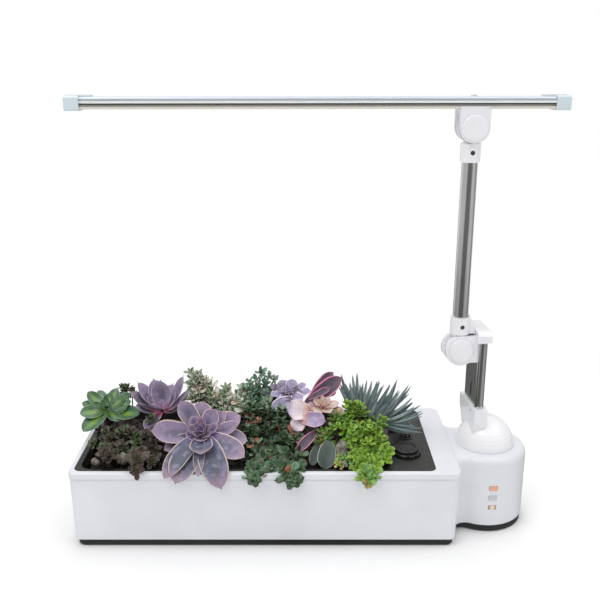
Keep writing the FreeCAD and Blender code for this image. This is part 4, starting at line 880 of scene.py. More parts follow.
@dataclass
class Cluster(Plant):
    """Many small whorls of leaves. Each row of whorls is right, down, depth, size and tone.

    A patch fills a part of the picture: its row is left, top, right, bottom, depth at the top and
    at the bottom, count, size, lowest tone and highest tone. Its whorl k lies at the fractions of
    0.7549 k and 0.5698 k across and down, which covers it evenly and in no rows.
    A whorl's axis leans from the plant's middle towards the viewer and up. Its leaf k turns by k
    golden angles about that axis, leans out less the higher k is, and is shorter. Whorls of tone
    near 0 take the skin's painted shade and stand for the shade deep among the leaves.
    """

    whorls: tuple[Row, ...] = ()
    patches: tuple[Row, ...] = ()
    spread: float = 0.12
    middle: tuple[float, float, float] = (0.0, 0.0, 0.0)
    leaf_count: int = 9
    length: float = 8.0
    width: float = 5.0
    skin: LeafSkin | None = None
    shape: LeafShape = LeafShape.ROUND
    seed: int = 1
    thick: float = 1.6
    stem: float = 1.4
    cusp: float = 0.0

    def batches(self) -> list[LeafBatch]:
        """Work out the leaves and the stems.

        Returns:
            The leaves, then the stems.
        """
        draw = np.random.default_rng(self.seed)
        sets = [np.array(self.whorls, float).reshape(-1, 5)]
        for left, top, right, bottom, back, front, number, size, low, high in self.patches:
            k = np.arange(int(number)) + 0.5
            over, under = (k * 0.7548777) % 1.0, (k * 0.5698403) % 1.0
            sets.append(np.column_stack([
                left + (right - left) * over, top + (bottom - top) * under,
                back + (front - back) * under + draw.normal(0.0, 2.5, len(k)),
                size * draw.uniform(0.75, 1.2, len(k)), draw.uniform(low, high, len(k))]))
        rows = np.concatenate(sets)
        hearts = VIEW.place(rows[:, 0], rows[:, 1], rows[:, 2])
        middle = np.array(self.middle)
        axis = hearts - middle
        axis /= np.linalg.norm(axis, axis=1, keepdims=True)
        axis += np.array((0.0, -0.45, 0.75)) + draw.normal(0.0, 0.12, axis.shape)
        axis /= np.linalg.norm(axis, axis=1, keepdims=True)
        count = len(rows)
        k = np.arange(self.leaf_count)
        share = 1.0 - k / (self.leaf_count + 2.0)
        first = np.cross(axis, (0.31, 0.9, 0.3))
        first /= np.linalg.norm(first, axis=1, keepdims=True)
        second = np.cross(axis, first)
        turn = k[None] * GOLDEN + draw.uniform(0.0, 6.28, (count, 1))
        out = (np.cos(turn)[..., None] * first[:, None] + np.sin(turn)[..., None] * second[:, None])
        lean = np.radians(84.0) * share[None] * draw.uniform(0.85, 1.15, (count, len(k)))
        way = axis[:, None] * np.cos(lean)[..., None] + out * np.sin(lean)[..., None]
        size = rows[:, 3][:, None] * (0.55 + 0.45 * share)[None] * draw.uniform(
            0.85, 1.15, (count, len(k)))
        drop = axis[:, None] * (-3.0 * share[None, :, None] * rows[:, 3][:, None, None])
        base = (hearts[:, None] + drop + out * 0.6).reshape(-1, 3)
        tips = base + (way * (self.length * size)[..., None]).reshape(-1, 3)
        tips[:, 1] = np.maximum(tips[:, 1], FOREMOST)
        total = count * self.leaf_count
        drift = draw.uniform(-self.spread, self.spread, (count, len(k)))
        tone = (rows[:, 4][:, None] + drift).ravel()
        leaves = LeafBatch(base=base, tip=tips, up=(axis[:, None] - 0.5 * out).reshape(-1, 3),
                           width=(self.width * size).ravel(), thick=np.full(total, self.thick),
                           bow=draw.uniform(0.02, 0.14, total), cup=np.full(total, 0.25),
                           tone=np.clip(tone, 0.0, 1.0), shape=self.shape, cusp=self.cusp,
                           rings=5, sides=6)
        inner = middle + (hearts - middle) * 0.25
        inner[:, 2] = np.minimum(inner[:, 2], hearts[:, 2] - 4.0)
        return [leaves, stems(hearts - axis, inner, self.stem, 0.12)]

    def build(self) -> bpy.types.Object:
        """Build the cluster as one piece."""
        surfaces = [batch.surface() for batch in self.batches()]
        return self.settle(make_piece(self.name, surfaces,
                                      [self.skin.material(), STALK.material()]))


@dataclass
class FingerFan(Plant):
    """Long tapering leaves. Each row is the base's right, down and depth, the tip's, and a bow.

    Between every two rows stand further leaves at a random share of the way, moved by a few
    millimetres.
    """

    fingers: tuple[Row, ...] = ()
    skin: LeafSkin | None = None
    width: float = 4.2
    between: int = 2
    seed: int = 31

    def build(self) -> bpy.types.Object:
        """Build the fan as one piece."""
        rows = np.array(self.fingers, float)
        draw = np.random.default_rng(self.seed)
        first = np.repeat(rows[:-1], self.between, axis=0)
        share = draw.uniform(0.25, 0.75, (len(first), 1))
        extra = first + (np.repeat(rows[1:], self.between, axis=0) - first) * share
        extra += draw.normal(0.0, (1.0, 1.5, 4.0, 2.5, 3.0, 4.0, 0.03), extra.shape)
        extra[:, 4] += draw.uniform(0.0, 9.0, len(extra))
        rows = np.concatenate([rows, extra])
        base = VIEW.place(rows[:, 0], rows[:, 1], rows[:, 2])
        tip = VIEW.place(rows[:, 3], rows[:, 4], rows[:, 5])
        count = len(rows)
        batch = LeafBatch(base=base, tip=tip, up=np.tile((-0.2, -0.5, 0.8), (count, 1)),
                          width=np.full(count, self.width), thick=np.full(count, self.width * 0.95),
                          bow=rows[:, 6], cup=np.full(count, 0.1),
                          tone=(np.arange(count) * 0.37) % 0.8 + 0.1,
                          shape=LeafShape.FINGER, rings=14, sides=8)
        middle = base.mean(axis=0)
        foot = np.array([[middle[0], middle[1], 79.0]])
        short = stems(base[::2] * 0.3 + middle * 0.7 + (0.0, 0.0, 3.0),
                      np.repeat(foot, len(base[::2]), axis=0), 6.0)
        return self.settle(make_piece(self.name, [batch.surface(), short.surface()],
                                      [self.skin.material(), STALK.material()]))


def pebble_surface(middle: np.ndarray, radius: np.ndarray, seed: int, rings: int = 5,
                   sides: int = 7) -> tuple[np.ndarray, np.ndarray, dict[str, np.ndarray]]:
    """Lumpy pebbles, each a ball whose points move out or in by a random share.

    A point at latitude a and longitude b lies at the radius times (cos a cos b, cos a sin b,
    sin a), times one plus a draw.

    Args:
        middle: Middles in millimetres.
        radius: Radii in millimetres, three to a pebble.
        seed: Seed of the draws.
        rings: Rings between the poles.
        sides: Points round a ring.

    Returns:
        Points, faces of four and numbers.
    """
    draw = np.random.default_rng(seed)
    count = len(middle)
    a = (np.arange(rings) + 1.0) / (rings + 1.0) * math.pi - math.pi / 2.0
    b = np.arange(sides) / sides * 2.0 * math.pi
    ball = np.stack([np.cos(a)[:, None] * np.cos(b), np.cos(a)[:, None] * np.sin(b),
                     np.broadcast_to(np.sin(a)[:, None], (rings, sides))], -1).reshape(-1, 3)
    ball = np.concatenate([ball, [[0.0, 0.0, -1.0], [0.0, 0.0, 1.0]]])
    lump = 1.0 + draw.normal(0.0, 0.11, (count, len(ball), 1))
    turn = draw.uniform(0.0, 6.28, count)
    spots = ball[None] * lump * radius[:, None]
    cosine, sine = np.cos(turn)[:, None], np.sin(turn)[:, None]
    spots = np.stack([spots[..., 0] * cosine - spots[..., 1] * sine,
                      spots[..., 0] * sine + spots[..., 1] * cosine, spots[..., 2]], -1)
    spots = spots + middle[:, None]
    faces = ring_faces(rings, sides, over=True)
    faces = (faces[None] + (np.arange(count) * len(ball))[:, None, None]).reshape(-1, 4)
    return spots.reshape(-1, 3), faces, {}


@dataclass
class MediumBed(Plant):
    """The growing medium: a lens-shaped bed with an uneven top, strewn with small lumps."""

    low: tuple[float, float] = (15.5, 15.0)
    high: tuple[float, float] = (328.0, 151.0)
    top: float = 80.0
    depth: float = 9.0
    lumps: int = 1100

    def height(self, x: np.ndarray, y: np.ndarray) -> np.ndarray:
        """Height of the bed's top: its level plus three slow waves across it."""
        return (self.top + 1.2 * np.sin(x * 0.11 + y * 0.07) + 0.9 * np.sin(y * 0.19 - x * 0.05)
                + 0.6 * np.sin(x * 0.31) * np.cos(y * 0.27))

    def build(self) -> bpy.types.Object:
        """Build the bed and its lumps as one piece.

        The bed's points lie on rings about its middle: the ring at share r runs round a
        rectangle that is r times the bed's size. The upper half follows the bed's height and
        the lower half drops by the depth times one less r to the fourth power.

        Returns:
            The object.
        """
        low, high = np.array(self.low), np.array(self.high)
        middle, half = (low + high) / 2.0, (high - low) / 2.0
        shares = np.linspace(0.0, 1.0, 41)[1:]
        sides = 160
        angle = np.arange(sides) / sides * 2.0 * math.pi
        square = np.stack([np.cos(angle), np.sin(angle)], -1)
        square /= np.max(np.abs(square), axis=1, keepdims=True) ** 0.96
        flat = middle + shares[:, None, None] * square[None] * half
        upper = np.concatenate([flat, self.height(flat[..., 0], flat[..., 1])[..., None]], -1)
        under = upper[:-1][::-1].copy()
        under[..., 2] -= self.depth * (1.0 - shares[:-1][::-1] ** 4)[:, None]
        rings = np.concatenate([upper, under])
        count = len(rings)
        poles = np.array([[*middle, self.height(*middle)], [*middle, self.top - self.depth]])
        points = np.concatenate([rings.reshape(-1, 3), poles])
        bed = points, ring_faces(count, sides), {}
        draw = np.random.default_rng(5)
        spots = draw.uniform(low + 3.0, high - 3.0, (self.lumps, 2))
        size = draw.uniform(1.0, 2.8, (self.lumps, 1)) * draw.uniform(0.7, 1.2, (self.lumps, 3))
        level = self.height(spots[:, 0], spots[:, 1]) + 0.3
        lumps = pebble_surface(np.column_stack([spots, level]), size, 6)
        return self.settle(make_piece(self.name, [bed, lumps], [SOIL.material()] * 2))


@dataclass
class Stones(Plant):
    """Loose stones. Each row is right, down, depth and three radii."""

    stones: tuple[Row, ...] = ()

    def build(self) -> bpy.types.Object:
        """Build the stones as one piece."""
        rows = np.array(self.stones, float)
        middle = VIEW.place(rows[:, 0], rows[:, 1], rows[:, 2])
        surface = pebble_surface(middle, rows[:, 3:6], 11, 9, 14)
        return self.settle(make_piece(self.name, [surface], [PEBBLE.material()]))


STALK = Moulding("stalk", paint(84, 60, 48), 0.75, grain=0.002, depth=0.0002, drift=0.3)
SOIL = Granular("soil", paint(18, 15, 12), paint(58, 46, 37), 0.004)
PEBBLE = Granular("pebble", paint(84, 81, 68), paint(150, 147, 138), 0.006, 0.8, 0.0004)

# In every skin the pale cloud colour is a painted highlight and the darkest colour, for tones near
# 0, a painted shade for leaves deep in the plant; in the lilac, upright and pale lilac skins the
# darker middle colour is painted shade in the leaf's hollow
LILAC_SKIN = LeafSkin(
    "lilac leaf", heart=paint(128, 108, 184), body=paint(154, 134, 164), tip=paint(172, 144, 160),
    middle=paint(86, 88, 104), margin=paint(240, 212, 206), under=paint(108, 92, 100),
    odd_body=paint(78, 90, 98), odd_margin=paint(206, 184, 172), inner_shade=paint(52, 42, 44),
    painted_sheen=paint(186, 172, 204), margin_start=0.9, groove=0.85, groove_end=0.62)
UPRIGHT_SKIN = LeafSkin(
    "upright leaf", heart=paint(214, 96, 150), body=paint(158, 148, 178), tip=paint(180, 170, 194),
    middle=paint(92, 88, 110), margin=paint(240, 222, 232), under=paint(164, 154, 178),
    odd_body=paint(74, 78, 90), odd_margin=paint(190, 170, 176), inner_shade=paint(52, 44, 50),
    painted_sheen=paint(186, 182, 200), heart_end=0.36, streak=0.12, groove=0.7)
GREEN_SKIN = LeafSkin(
    "green leaf", heart=paint(96, 132, 52), body=paint(58, 98, 66), tip=paint(66, 108, 80),
    middle=paint(140, 178, 66), margin=paint(172, 190, 164), under=paint(74, 102, 72),
    odd_body=paint(78, 116, 82), odd_margin=paint(172, 190, 164), inner_shade=paint(30, 44, 26),
    painted_sheen=paint(124, 154, 146), groove=0.8, groove_end=0.5, roughness=0.3, cloud=0.01)
PALE_SKIN = LeafSkin(
    "pale lilac leaf", heart=paint(84, 80, 94), body=paint(172, 164, 202),
    tip=paint(204, 194, 228), middle=paint(112, 110, 130), margin=paint(252, 230, 242),
    under=paint(146, 136, 166), odd_body=paint(92, 96, 108), odd_margin=paint(214, 188, 204),
    inner_shade=paint(50, 48, 56), painted_sheen=paint(206, 200, 226), margin_start=0.84)
PINK_SKIN = LeafSkin(
    "pink edged leaf", heart=paint(80, 66, 80), body=paint(90, 76, 92), tip=paint(118, 96, 118),
    middle=paint(66, 62, 72), margin=paint(232, 140, 180), under=paint(150, 96, 124),
    odd_body=paint(226, 214, 190), odd_margin=paint(230, 166, 182), inner_shade=paint(52, 40, 48),
    painted_sheen=paint(120, 108, 128), margin_start=0.82)
CUP_SKIN = LeafSkin(
    "cream and pink leaf", heart=paint(226, 208, 150), body=paint(214, 206, 190),
    tip=paint(222, 188, 194), middle=paint(206, 200, 168), margin=paint(226, 150, 176),
    under=paint(196, 130, 154), odd_body=paint(140, 118, 146), odd_margin=paint(222, 140, 170),
    inner_shade=paint(84, 62, 66), painted_sheen=paint(232, 226, 214), margin_start=0.8)
RUFFLE_SKIN = LeafSkin(
    "ruffled leaf", heart=paint(212, 156, 128), body=paint(150, 136, 178),
    tip=paint(136, 122, 170), middle=paint(176, 164, 192), margin=paint(232, 190, 214),
    under=paint(170, 130, 160), odd_body=paint(232, 220, 222), odd_margin=paint(238, 210, 224),
    inner_shade=paint(84, 62, 66), painted_sheen=paint(226, 214, 226), margin_start=0.88, heart_end=0.5)
SPOON_SKIN = LeafSkin(
    "spoon leaf", heart=paint(62, 78, 64), body=paint(54, 72, 64), tip=paint(62, 80, 74),
    middle=paint(42, 56, 52), margin=paint(188, 190, 174), under=paint(72, 84, 76),
    odd_body=paint(92, 104, 98), odd_margin=paint(190, 190, 176), inner_shade=paint(34, 42, 38),
    painted_sheen=paint(84, 100, 94), margin_start=0.92)
DARK_SKIN = LeafSkin(
    "dark leaf", heart=paint(104, 112, 72), body=paint(84, 70, 68), tip=paint(58, 38, 44),
    middle=paint(90, 88, 72), margin=paint(146, 128, 120), under=paint(46, 36, 36),
    odd_body=paint(80, 110, 68), odd_margin=paint(142, 164, 116), inner_shade=paint(20, 18, 15),
    painted_sheen=paint(132, 126, 122), rare=paint(140, 120, 128), margin_start=0.86, heart_end=0.6,
    roughness=0.4)
CREAM_SKIN = LeafSkin(
    "cream leaf", heart=paint(122, 142, 92), body=paint(90, 126, 86), tip=paint(120, 150, 108),
    middle=paint(84, 118, 80), margin=paint(246, 244, 224), under=paint(120, 118, 88),
    odd_body=paint(250, 250, 238), odd_margin=paint(252, 248, 236), inner_shade=paint(40, 30, 18),
    painted_sheen=paint(196, 210, 184), rare=paint(232, 200, 182), margin_start=0.74,
    painted_sheen_share=0.2)
JADE_SKIN = LeafSkin(
    "jade leaf", heart=paint(84, 118, 88), body=paint(98, 138, 112), tip=paint(124, 160, 138),
    middle=paint(90, 126, 100), margin=paint(164, 188, 160), under=paint(74, 96, 72),
    odd_body=paint(196, 206, 180), odd_margin=paint(226, 224, 204), inner_shade=paint(38, 44, 30),
    painted_sheen=paint(170, 194, 180))
SEDUM_SKIN = LeafSkin(
    "sedum leaf", heart=paint(140, 162, 120), body=paint(50, 82, 54), tip=paint(104, 62, 54),
    middle=paint(92, 134, 98), margin=paint(118, 140, 104), under=paint(38, 46, 30),
    odd_body=paint(118, 160, 128), odd_margin=paint(172, 198, 164), inner_shade=paint(20, 22, 13),
    painted_sheen=paint(158, 190, 162), rare=paint(214, 112, 96), tip_start=0.8, roughness=0.3,
    painted_sheen_share=0.35)
BLUE_SKIN = LeafSkin(
    "blue leaf", heart=paint(76, 94, 92), body=paint(88, 106, 108), tip=paint(96, 114, 114),
    middle=paint(118, 136, 138), margin=paint(140, 156, 156), under=paint(60, 78, 78),
    odd_body=paint(146, 160, 160), odd_margin=paint(168, 180, 178), inner_shade=paint(40, 54, 52),
    painted_sheen=paint(138, 154, 156), roughness=0.5)
LIME_SKIN = LeafSkin(
    "lime leaf", heart=paint(166, 200, 60), body=paint(112, 158, 48), tip=paint(164, 204, 82),
    middle=paint(146, 190, 62), margin=paint(188, 218, 116), under=paint(66, 98, 36),
    odd_body=paint(104, 156, 104), odd_margin=paint(160, 196, 158), inner_shade=paint(26, 38, 14),
    painted_sheen=paint(190, 222, 104), rare=paint(204, 132, 104), painted_sheen_share=0.45, roughness=0.34)


def plants() -> list[Plant]:
    """Set out every plant by its place in the picture.

    Returns:
        The plants, not yet built.
    """
    return [
        Rosette("large_rosette_leaves", "large_rosette", Slot.PURPLE, heart=(201.3, 431.0, 42.0),
                axis=(0.02, -0.62, 0.78), skin=LILAC_SKIN, core_count=13, core_length=17.0,
                core_width=11.0, cup=0.30, leaves=(
                    (151.9, 431.0, 30.0, 28.0, 0.05, 0.1), (180.5, 401.5, 60.0, 21.0, 0.08, 0.66),
                    (201.0, 402.0, 72.0, 24.0, 0.06, 0.4), (215.5, 409.5, 54.0, 20.0, 0.10, 0.6),
                    (240.0, 416.0, 66.0, 24.0, 0.06, 0.3), (238.0, 424.0, 44.0, 16.0, 0.14, 0.25),
                    (247.0, 441.0, 40.0, 22.0, 0.02, 0.68), (243.8, 457.0, 14.0, 25.0, -0.02, 0.66),
                    (201.0, 454.0, 2.0, 25.0, 0.04, 0.76), (175.5, 483.0, -8.0, 31.0, -0.10, 0.9),
                    (164.5, 478.0, -5.0, 22.0, -0.13, 0.9), (221.0, 488.0, -8.0, 30.0, -0.15, 0.9),
                    (198.0, 476.0, -5.0, 12.0, -0.14, 0.9), (191.0, 417.0, 50.0, 13.0, 0.12, 0.2),
                    (176.0, 427.5, 46.0, 15.0, 0.16, 0.25), (217.5, 425.5, 42.0, 12.0, 0.15, 0.2),
                    (164.5, 450.0, 26.0, 17.0, -0.03, 0.9), (201.0, 441.5, 26.0, 15.0, 0.1, 0.3),
                    (225.0, 412.0, 62.0, 17.0, 0.1, 0.25), (186.0, 436.0, 34.0, 13.0, 0.14, 0.2))),
        Rosette("upright_rosette_leaves", "upright_rosette", Slot.PURPLE,
                heart=(162.0, 407.5, 90.0), axis=(0.0, -0.25, 0.97), skin=UPRIGHT_SKIN,
                shape=LeafShape.SPOON, core_count=6, core_length=13.0, core_width=7.0, cup=0.5,
                thick=2.6, cusp=0.08, leaves=(
                    (160.5, 381.0, 96.0, 23.0, 0.10, 0.62), (153.5, 379.8, 108.0, 20.0, 0.08, 0.2),
                    (138.0, 383.0, 102.0, 16.0, 0.10, 0.2), (131.0, 392.6, 88.0, 18.0, 0.12, 0.85),
                    (183.3, 377.0, 100.0, 15.0, 0.12, 0.2), (189.0, 391.8, 84.0, 17.0, 0.12, 0.7),
                    (135.3, 407.0, 74.0, 18.0, 0.12, 0.9), (145.0, 429.0, 64.0, 15.0, 0.05, 0.3),
                    (183.0, 406.0, 76.0, 15.0, 0.12, 0.9), (173.0, 384.5, 112.0, 16.0, 0.08, 0.3),
                    (176.0, 393.0, 100.0, 13.0, 0.10, 0.3), (147.0, 397.0, 92.0, 13.0, 0.12, 0.7))),
        Rosette("green_rosette_leaves", "green_rosette", Slot.GREEN, heart=(106.0, 406.0, 92.0),
                axis=(0.0, -0.45, 0.89), skin=GREEN_SKIN, shape=LeafShape.OVAL, core_count=7,
                core_length=15.0, core_width=8.0, cup=0.24, thick=2.6, cusp=0.02, leaves=(
                    (88.0, 392.0, 106.0, 16.0, 0.10, 0.2), (82.3, 403.0, 96.0, 15.0, 0.10, 0.3),
                    (80.2, 414.0, 82.0, 21.0, 0.06, 0.2), (83.5, 431.5, 64.0, 21.0, 0.02, 0.2),
                    (130.0, 393.5, 106.0, 17.0, 0.10, 0.3), (131.0, 401.5, 94.0, 15.0, 0.10, 0.7),
                    (139.0, 414.5, 78.0, 22.0, 0.05, 0.2), (117.0, 388.5, 114.0, 15.0, 0.08, 0.2),
                    (99.0, 390.5, 116.0, 14.0, 0.08, 0.4), (124.0, 397.0, 102.0, 14.0, 0.12, 0.3),
                    (127.0, 408.0, 88.0, 13.0, 0.12, 0.6), (93.0, 421.0, 80.0, 13.0, 0.05, 0.6),
                    (110.0, 393.0, 108.0, 12.0, 0.12, 0.3), (119.0, 421.0, 76.0, 13.0, 0.03, 0.1))),
        Rosette("pale_rosette_leaves", "lilac_rosette", Slot.LILAC, heart=(287.0, 391.0, 120.0),
                axis=(0.0, -0.35, 0.94), skin=PALE_SKIN, core_count=9, core_length=10.0,
                core_width=8.0, thick=1.8, ruffle=0.12, leaves=(
                    (259.0, 391.5, 118.0, 8.0, 0.06, 0.2), (270.0, 385.0, 128.0, 12.0, 0.10, 0.7),
                    (281.0, 380.0, 136.0, 15.0, 0.10, 0.7), (294.0, 379.5, 136.0, 15.0, 0.10, 0.6),
                    (306.0, 384.0, 128.0, 14.0, 0.10, 0.3), (311.0, 391.5, 114.0, 14.0, 0.06, 0.2),
                    (302.0, 400.5, 102.0, 17.0, 0.02, 0.2), (285.0, 400.5, 102.0, 15.0, 0.03, 0.2),
                    (271.0, 395.5, 110.0, 13.0, 0.05, 0.2), (277.0, 386.0, 128.0, 11.0, 0.12, 0.8),
                    (300.0, 386.5, 124.0, 11.0, 0.12, 0.8))),
        LooseLeaves("pale_low_leaf", "lilac_rosette", Slot.LILAC, skin=PALE_SKIN, ruffle=0.05,
                    leaves=((292.0, 398.0, 108.0, 272.5, 411.0, 94.0, 17.0, -0.06, 0.2),
                            (286.0, 402.0, 110.0, 296.0, 410.0, 98.0, 12.0, -0.03, 0.2))),
        Rosette("cup_rosette_leaves", "pink_rosette", Slot.LILAC, heart=(323.0, 405.0, 78.0),
                axis=(0.05, -0.4, 0.91), skin=CUP_SKIN, core_count=9, core_length=13.0,
                core_width=7.0, thick=1.6, ruffle=0.06, leaves=(
                    (344.0, 412.5, 72.0, 12.0, 0.04, 0.7), (339.0, 403.0, 82.0, 11.0, 0.08, 0.3),
                    (329.0, 397.0, 88.0, 9.0, 0.12, 0.2), (314.0, 398.0, 86.0, 9.0, 0.12, 0.2),
                    (307.0, 405.0, 78.0, 10.0, 0.08, 0.7), (330.0, 413.0, 62.0, 13.0, 0.03, 0.3),
                    (315.0, 413.0, 62.0, 13.0, 0.03, 0.3))),
        LooseLeaves("pink_edged_leaves", "pink_rosette", Slot.LILAC, skin=PINK_SKIN, ruffle=0.04,
                    cup=0.35, leaves=(
                        (305.0, 405.0, 88.0, 341.0, 377.5, 100.0, 20.0, 0.05, 0.2),
                        (312.0, 394.0, 98.0, 333.0, 372.5, 114.0, 14.0, 0.05, 0.2),
                        (308.0, 399.0, 84.0, 330.0, 388.0, 94.0, 8.0, 0.02, 0.2),
                        (317.0, 431.0, 56.0, 297.5, 451.0, 36.0, 11.0, -0.08, 0.2),
                        (322.0, 396.0, 96.0, 336.0, 392.0, 98.0, 8.0, 0.02, 0.3))),
        LooseLeaves("ruffled_leaves", "pink_rosette", Slot.LILAC, skin=RUFFLE_SKIN, ruffle=0.14,
                    cup=0.3, leaves=(
                        (311.0, 412.0, 70.0, 287.5, 410.0, 64.0, 24.0, -0.05, 0.95),
                        (303.0, 418.0, 64.0, 294.0, 430.0, 54.0, 17.0, -0.05, 0.95),
                        (300.0, 419.0, 62.0, 325.0, 421.0, 52.0, 18.0, -0.06, 0.2))),
        LooseLeaves("spoon_leaves", "spoon_rosette", Slot.LILAC, skin=SPOON_SKIN, thick=2.4,
                    leaves=((329.0, 440.5, 42.0, 325.0, 469.0, 17.0, 20.0, -0.05, 0.2),
                            (318.0, 444.0, 46.0, 312.0, 465.5, 24.0, 11.0, -0.05, 0.3))),
        Cluster("dark_rosette_leaves", "dark_rosettes", Slot.DARK, middle=(62.0, 46.0, 76.0),
                skin=DARK_SKIN, shape=LeafShape.SPOON, leaf_count=12, length=10.0, width=6.4,
                thick=1.8, cusp=0.12, seed=3, spread=0.08, whorls=(
                    (110.0, 439.0, 50.0, 1.05, 0.3), (131.0, 431.0, 56.0, 1.0, 0.5),
                    (151.0, 446.5, 40.0, 1.0, 0.15), (137.0, 459.0, 8.0, 1.3, 0.3),
                    (135.5, 471.0, -4.0, 0.9, 0.15), (103.0, 447.0, 36.0, 0.9, 0.9),
                    (109.0, 456.0, 24.0, 1.1, 0.3), (93.0, 443.0, 44.0, 0.8, 0.75),
                    (122.0, 446.0, 36.0, 0.9, 0.2), (146.0, 434.0, 52.0, 0.8, 0.3),
                    (142.0, 452.0, 26.0, 0.9, 0.3), (152.0, 461.0, 16.0, 0.9, 0.3),
                    (127.0, 387.0, 124.0, 0.9, 0.8), (151.0, 418.0, 72.0, 0.9, 0.75)),
                patches=((96.0, 428.0, 158.0, 456.0, 62.0, 30.0, 15, 1.15, 0.15, 1.0),
                         # Tones of 0 to 0.06: filler leaves in painted shade, for the shade between
                         # the whorls
                         (100.0, 426.0, 160.0, 462.0, 74.0, 34.0, 30, 1.0, 0.0, 0.06),
                         (120.0, 384.0, 134.0, 396.0, 130.0, 116.0, 7, 0.7, 0.3, 0.9))),
        Cluster("variegated_leaves", "variegated_sedum", Slot.VARIEGATED,
                middle=(160.0, 126.0, 92.0), skin=CREAM_SKIN, leaf_count=6, length=11.0,
                width=6.4, shape=LeafShape.OVAL, seed=4, spread=0.3, whorls=(
                    (190.5, 371.0, 132.0, 0.8, 0.3), (197.0, 373.0, 134.0, 0.9, 0.4),
                    (203.0, 380.0, 130.0, 0.9, 0.8), (208.0, 385.0, 126.0, 0.9, 0.9),
                    (191.0, 384.0, 124.0, 0.9, 0.4), (194.0, 395.0, 116.0, 0.8, 0.6),
                    (225.5, 387.0, 128.0, 0.8, 0.5), (229.0, 395.0, 122.0, 0.9, 0.9)),
                patches=((188.0, 374.0, 212.0, 402.0, 134.0, 116.0, 14, 1.0, 0.3, 1.0),
                         (214.0, 391.0, 240.0, 412.0, 126.0, 106.0, 14, 1.0, 0.3, 1.0),
                         (236.0, 393.0, 256.0, 412.0, 122.0, 104.0, 10, 1.0, 0.3, 0.9),
                         # Tones of 0 to 0.04: filler leaves in painted shade, for the shade between
                         # the whorls
                         (194.0, 392.0, 256.0, 414.0, 132.0, 110.0, 34, 0.9, 0.0, 0.04))),
        Cluster("jade_leaves", "jade_shrub", Slot.VARIEGATED, middle=(196.0, 132.0, 92.0),
                skin=JADE_SKIN, leaf_count=7, length=10.0, width=5.4, shape=LeafShape.OVAL,
                seed=9, stem=2.2, spread=0.2, whorls=(
                    (261.0, 371.5, 132.0, 0.95, 0.2), (268.5, 376.0, 130.0, 0.95, 0.3),
                    (274.5, 379.0, 128.0, 0.85, 0.5), (249.0, 381.0, 132.0, 0.8, 0.2),
                    (256.0, 379.0, 128.0, 0.9, 0.2), (264.0, 383.0, 126.0, 0.9, 0.3),
                    (246.0, 388.0, 126.0, 0.8, 0.4), (240.0, 392.0, 124.0, 0.8, 0.6)),
                patches=((238.0, 386.0, 270.0, 402.0, 128.0, 112.0, 16, 1.0, 0.15, 0.8),
                         # Tones of 0 to 0.04: filler leaves in painted shade, for the shade between
                         # the whorls
                         (244.0, 388.0, 274.0, 408.0, 134.0, 114.0, 22, 1.0, 0.0, 0.04))),
        Cluster("green_sedum_leaves", "green_sedum", Slot.SEDUM, middle=(213.0, 52.0, 74.0),
                skin=SEDUM_SKIN, leaf_count=6, length=9.4, width=6.4, shape=LeafShape.SPOON,
                thick=2.2, seed=12, spread=0.3, whorls=(
                    (259.0, 420.5, 74.0, 0.8, 1.1), (292.0, 433.5, 62.0, 0.7, 1.1),
                    (268.5, 414.0, 86.0, 1.1, 0.3), (281.0, 425.0, 74.0, 1.1, 0.3),
                    (250.0, 428.0, 66.0, 1.0, 0.4), (285.0, 437.0, 52.0, 1.1, 0.3),
                    (262.0, 457.0, 26.0, 1.1, 0.3), (252.0, 476.0, -5.0, 0.9, 0.5),
                    (294.0, 479.0, -6.0, 1.1, 0.3)),
                patches=((245.0, 402.0, 284.0, 426.0, 94.0, 74.0, 17, 1.1, 0.2, 1.0),
                         (245.0, 424.0, 299.0, 450.0, 72.0, 44.0, 22, 1.2, 0.2, 1.0),
                         (247.0, 448.0, 303.0, 468.0, 42.0, 14.0, 18, 1.2, 0.2, 0.95),
                         (246.0, 466.0, 262.0, 477.0, 8.0, -5.0, 5, 1.2, 0.15, 1.0),
                         (283.0, 466.0, 301.0, 480.0, 8.0, -6.0, 6, 1.3, 0.15, 0.8),
                         (262.0, 464.0, 284.0, 470.0, 12.0, 6.0, 4, 1.2, 0.15, 0.8),
                         # Tones of 0 to 0.04: filler leaves in painted shade, for the shade between
                         # the whorls
                         (246.0, 406.0, 300.0, 462.0, 100.0, 30.0, 60, 1.1, 0.0, 0.04))),
        Cluster("lime_sedum_leaves", "lime_sedum", Slot.LIME, middle=(313.0, 46.0, 74.0),
                skin=LIME_SKIN, leaf_count=6, length=8.2, width=6.4, seed=21, spread=0.2, whorls=(
                    (356.0, 403.0, 78.0, 0.9, 0.3), (370.0, 428.0, 50.0, 1.0, 0.3),
                    (367.0, 482.0, -8.0, 0.9, 0.9), (324.0, 434.0, 50.0, 1.0, 0.9),
                    (338.0, 461.0, 18.0, 0.6, 0.9)),
                patches=((344.0, 400.0, 363.0, 414.0, 80.0, 70.0, 12, 1.0, 0.2, 0.6),
                         (329.0, 412.0, 352.0, 428.0, 70.0, 56.0, 13, 1.0, 0.2, 1.0),
                         (342.0, 421.0, 380.0, 446.0, 60.0, 36.0, 26, 1.05, 0.2, 0.55),
                         (346.0, 444.0, 390.0, 460.0, 38.0, 20.0, 22, 1.0, 0.2, 0.75),
                         (354.0, 458.0, 380.0, 470.0, 20.0, 6.0, 9, 0.95, 0.2, 0.8),
                         (359.0, 467.0, 376.0, 480.0, 4.0, -7.0, 8, 0.95, 0.5, 0.9),
                         (319.0, 429.0, 330.0, 442.0, 58.0, 48.0, 6, 1.1, 0.75, 0.9),
                         (336.0, 453.0, 345.0, 465.0, 26.0, 14.0, 5, 0.6, 0.6, 0.9),
                         (378.0, 414.0, 386.0, 424.0, 64.0, 58.0, 4, 0.8, 0.3, 0.8),
